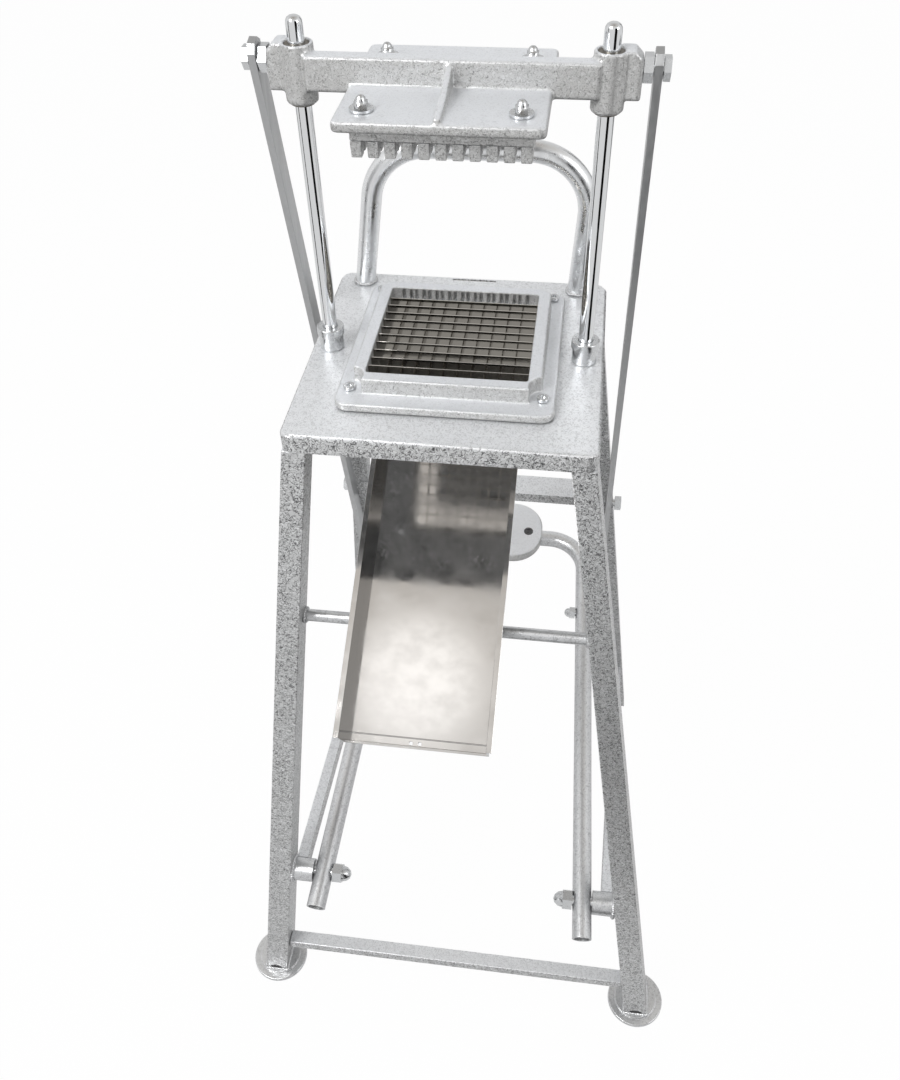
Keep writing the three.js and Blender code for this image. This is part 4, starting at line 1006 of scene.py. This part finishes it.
# Pusher block: a cast plate with rows of square posts that push the potato through the
# cells of the grid. The posts are set out on their pitch by a tree of nodes.
post_tree = bpy.data.node_groups.new("pusher posts", "GeometryNodeTree")
put_socket(post_tree, "Geometry", "INPUT", "NodeSocketGeometry")
put_socket(post_tree, "Rows", "INPUT", "NodeSocketInt", 11)
put_socket(post_tree, "Span", "INPUT", "NodeSocketFloat", 0.1)
put_socket(post_tree, "Root radius", "INPUT", "NodeSocketFloat", 0.005)
put_socket(post_tree, "Tip radius", "INPUT", "NodeSocketFloat", 0.0045)
put_socket(post_tree, "Length", "INPUT", "NodeSocketFloat", 0.01)
put_socket(post_tree, "Skin", "INPUT", "NodeSocketMaterial")
put_socket(post_tree, "Geometry", "OUTPUT", "NodeSocketGeometry")
tree = post_tree
ends_in = tree.nodes.new("NodeGroupInput")
ends_out = tree.nodes.new("NodeGroupOutput")
field = tree.nodes.new("GeometryNodeMeshGrid")
post = tree.nodes.new("GeometryNodeMeshCone")
post.inputs["Vertices"].default_value = 4
post.inputs["Side Segments"].default_value = 1
post.inputs["Fill Segments"].default_value = 1
square_on = tree.nodes.new("GeometryNodeTransform")
square_on.inputs["Rotation"].default_value = (0, 0, math.pi / 4)
lay = tree.nodes.new("GeometryNodeInstanceOnPoints")
realize = tree.nodes.new("GeometryNodeRealizeInstances")
finish = tree.nodes.new("GeometryNodeSetMaterial")
for socket in ("Size X", "Size Y"):
    wire(tree, ends_in.outputs["Span"], field.inputs[socket])
for socket in ("Vertices X", "Vertices Y"):
    wire(tree, ends_in.outputs["Rows"], field.inputs[socket])
wire(tree, ends_in.outputs["Root radius"], post.inputs["Radius Top"])
wire(tree, ends_in.outputs["Tip radius"], post.inputs["Radius Bottom"])
wire(tree, ends_in.outputs["Length"], post.inputs["Depth"])
wire(tree, post.outputs["Mesh"], square_on.inputs["Geometry"])
wire(tree, field.outputs["Mesh"], lay.inputs["Points"])
wire(tree, square_on.outputs[0], lay.inputs["Instance"])
wire(tree, lay.outputs[0], realize.inputs[0])
wire(tree, realize.outputs[0], finish.inputs["Geometry"])
wire(tree, ends_in.outputs["Skin"], finish.inputs["Material"])
wire(tree, finish.outputs[0], ends_out.inputs[0])

low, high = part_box("pusher_block")
post_rows = 11
post_length = 0.01
post_width = 0.007
post_taper = 0.0005
post_edge = 0.0006
posts = link_object("pusher_posts", bpy.data.meshes.new("pusher posts"))
maker = posts.modifiers.new("pusher posts", "NODES")
maker.node_group = post_tree
set_input(maker, post_tree, "Rows", post_rows)
set_input(maker, post_tree, "Span", (post_rows - 1) * blade_pitch)
set_input(maker, post_tree, "Root radius", post_width / math.sqrt(2))
set_input(maker, post_tree, "Tip radius", (post_width - post_taper) / math.sqrt(2))
set_input(maker, post_tree, "Length", post_length)
set_input(maker, post_tree, "Skin", cast_skin)
baked(posts)
posts.data.transform(Matrix.Translation(((low.x + high.x) / 2, (low.y + high.y) / 2, low.z)))
form = bmesh.new()
form.from_mesh(posts.data)
add_box(form, (low.x, low.y, low.z + post_length), (high.x, high.y, high.z))
bmesh.ops.recalc_face_normals(form, faces=form.faces)
form.to_mesh(posts.data)
form.free()
settle(rounded(posts, post_edge, segments=2), cast_skin, "pusher_block")
for end in ("front", "back"):
    for side in ("left", "right"):
        smooth_node(f"pusher_bolt_{end}_{side}", bright_zinc)


# Link bars: flat steel from the crosshead down to the pedal, dull and a little brushed
# along their length, on a bolt at each end.
link_edge = 0.0006
dull_steel = bare_metal("dull steel", (0.5, 0.505, 0.51), 0.34, 0.5, (500.0, 500.0, 12.0), 0.15)
for side in ("left", "right"):
    smooth_node(f"link_bar_{side}", dull_steel, edge=link_edge)
    for name in ("link_top_bolt", "link_top_nut", "link_lower_bolt", "link_lower_cap_nut"):
        smooth_node(f"{name}_{side}", bright_zinc)


# Pedal: a U of round tube with open front ends, painted satin silver, and a cast oval
# pad at its back held by two countersunk screws.
dark_zinc = bare_metal("dark zinc", (0.14, 0.14, 0.145), 0.25, 0.4, (300.0, 300.0, 300.0))
pedal_pitch = math.radians(12.08)
pivot_y = -0.116 + shift_y
pivot_z = 0.244
pedal_place = Matrix.Translation((0, pivot_y, pivot_z)) @ Matrix.Rotation(pedal_pitch, 4, "X")
half_at_pivot = 0.142
half_at_link = 0.126
link_reach = 0.3538
taper = (half_at_pivot - half_at_link) / link_reach
pedal_front = -0.039
pedal_back = 0.464
front_half = half_at_pivot - taper * pedal_front
back_half = half_at_pivot - taper * pedal_back
pedal_corners = [Vector((-front_half, pedal_front, 0)), Vector((-back_half, pedal_back, 0)),
                 Vector((back_half, pedal_back, 0)), Vector((front_half, pedal_front, 0))]
pedal_bend = 0.047
pedal_tube = 0.01025
pedal_wall = 0.002
pedal_sides = 48
pedal_route = bent_route(pedal_corners, pedal_bend)
pedal_mesh = tube_mesh("pedal frame", pedal_route, pedal_tube, pedal_wall, pedal_sides)
pedal_mesh.transform(pedal_place)
pedal_frame = link_object("pedal_frame_finish", pedal_mesh)
settle(rounded(pedal_frame, 0, round_crease), satin_silver, "pedal_frame")
pad_edge = 0.0006
settle(rounded(merged_copy("foot_pad"), pad_edge, angle=50.0), cast_skin, "foot_pad")
pad_top = 0.0145
pad_screw_x = 0.047
pad_screw_sides = 48
head = pad_top - 0.0003
neck = pad_top - 0.003
tail = pad_top - 0.022
head_rim = head - 0.0004
recess = head - 0.0026
shank_radius = 0.003
head_radius = 0.006
recess_radius = 0.0036
pad_screw_corners = [0.0004, 0, 0.0002, 0.0002, 0.0003, 0]
pad_screw_profile = soft_profile(
    [(0, tail), (shank_radius, tail), (shank_radius, neck), (head_radius, head_rim),
     (head_radius, head), (recess_radius, head), (recess_radius, recess), (0, recess)],
    pad_screw_corners)
for side in ("left", "right"):
    sign = -1 if side == "left" else 1
    node = f"pad_screw_{side}"
    screw = link_object(node + "_finish", turned_mesh(node, pad_screw_profile, pad_screw_sides))
    screw.data.transform(pedal_place @ Matrix.Translation((sign * pad_screw_x, pedal_back, 0)))
    settle(rounded(screw, 0, round_crease), dark_zinc, node)


# Pivots: a round boss welded inside each front leg, a bolt through it and a domed nut
# on the pedal's inner side. The rail at the back is bolted to the rear legs.
boss_bead = 0.0022
boss_bead_circle = 0.0128
boss_bead_inset = 0.0035
for side in ("left", "right"):
    sign = -1 if side == "left" else 1
    node = f"pivot_boss_{side}"
    smooth_node(node, satin_silver)
    low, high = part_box(node)
    weld_x = (high.x if sign > 0 else low.x) - sign * boss_bead_inset
    centre = (weld_x, (low.y + high.y) / 2, (low.z + high.z) / 2)
    weld_lines(f"boss_weld_{side}", [circle_points(centre, boss_bead_circle, (1, 0, 0))],
               boss_bead, satin_silver, "base")
    for name in ("pivot_bolt", "pivot_cap_nut", "rail_bolt", "rail_nut"):
        smooth_node(f"{name}_{side}", bright_zinc)
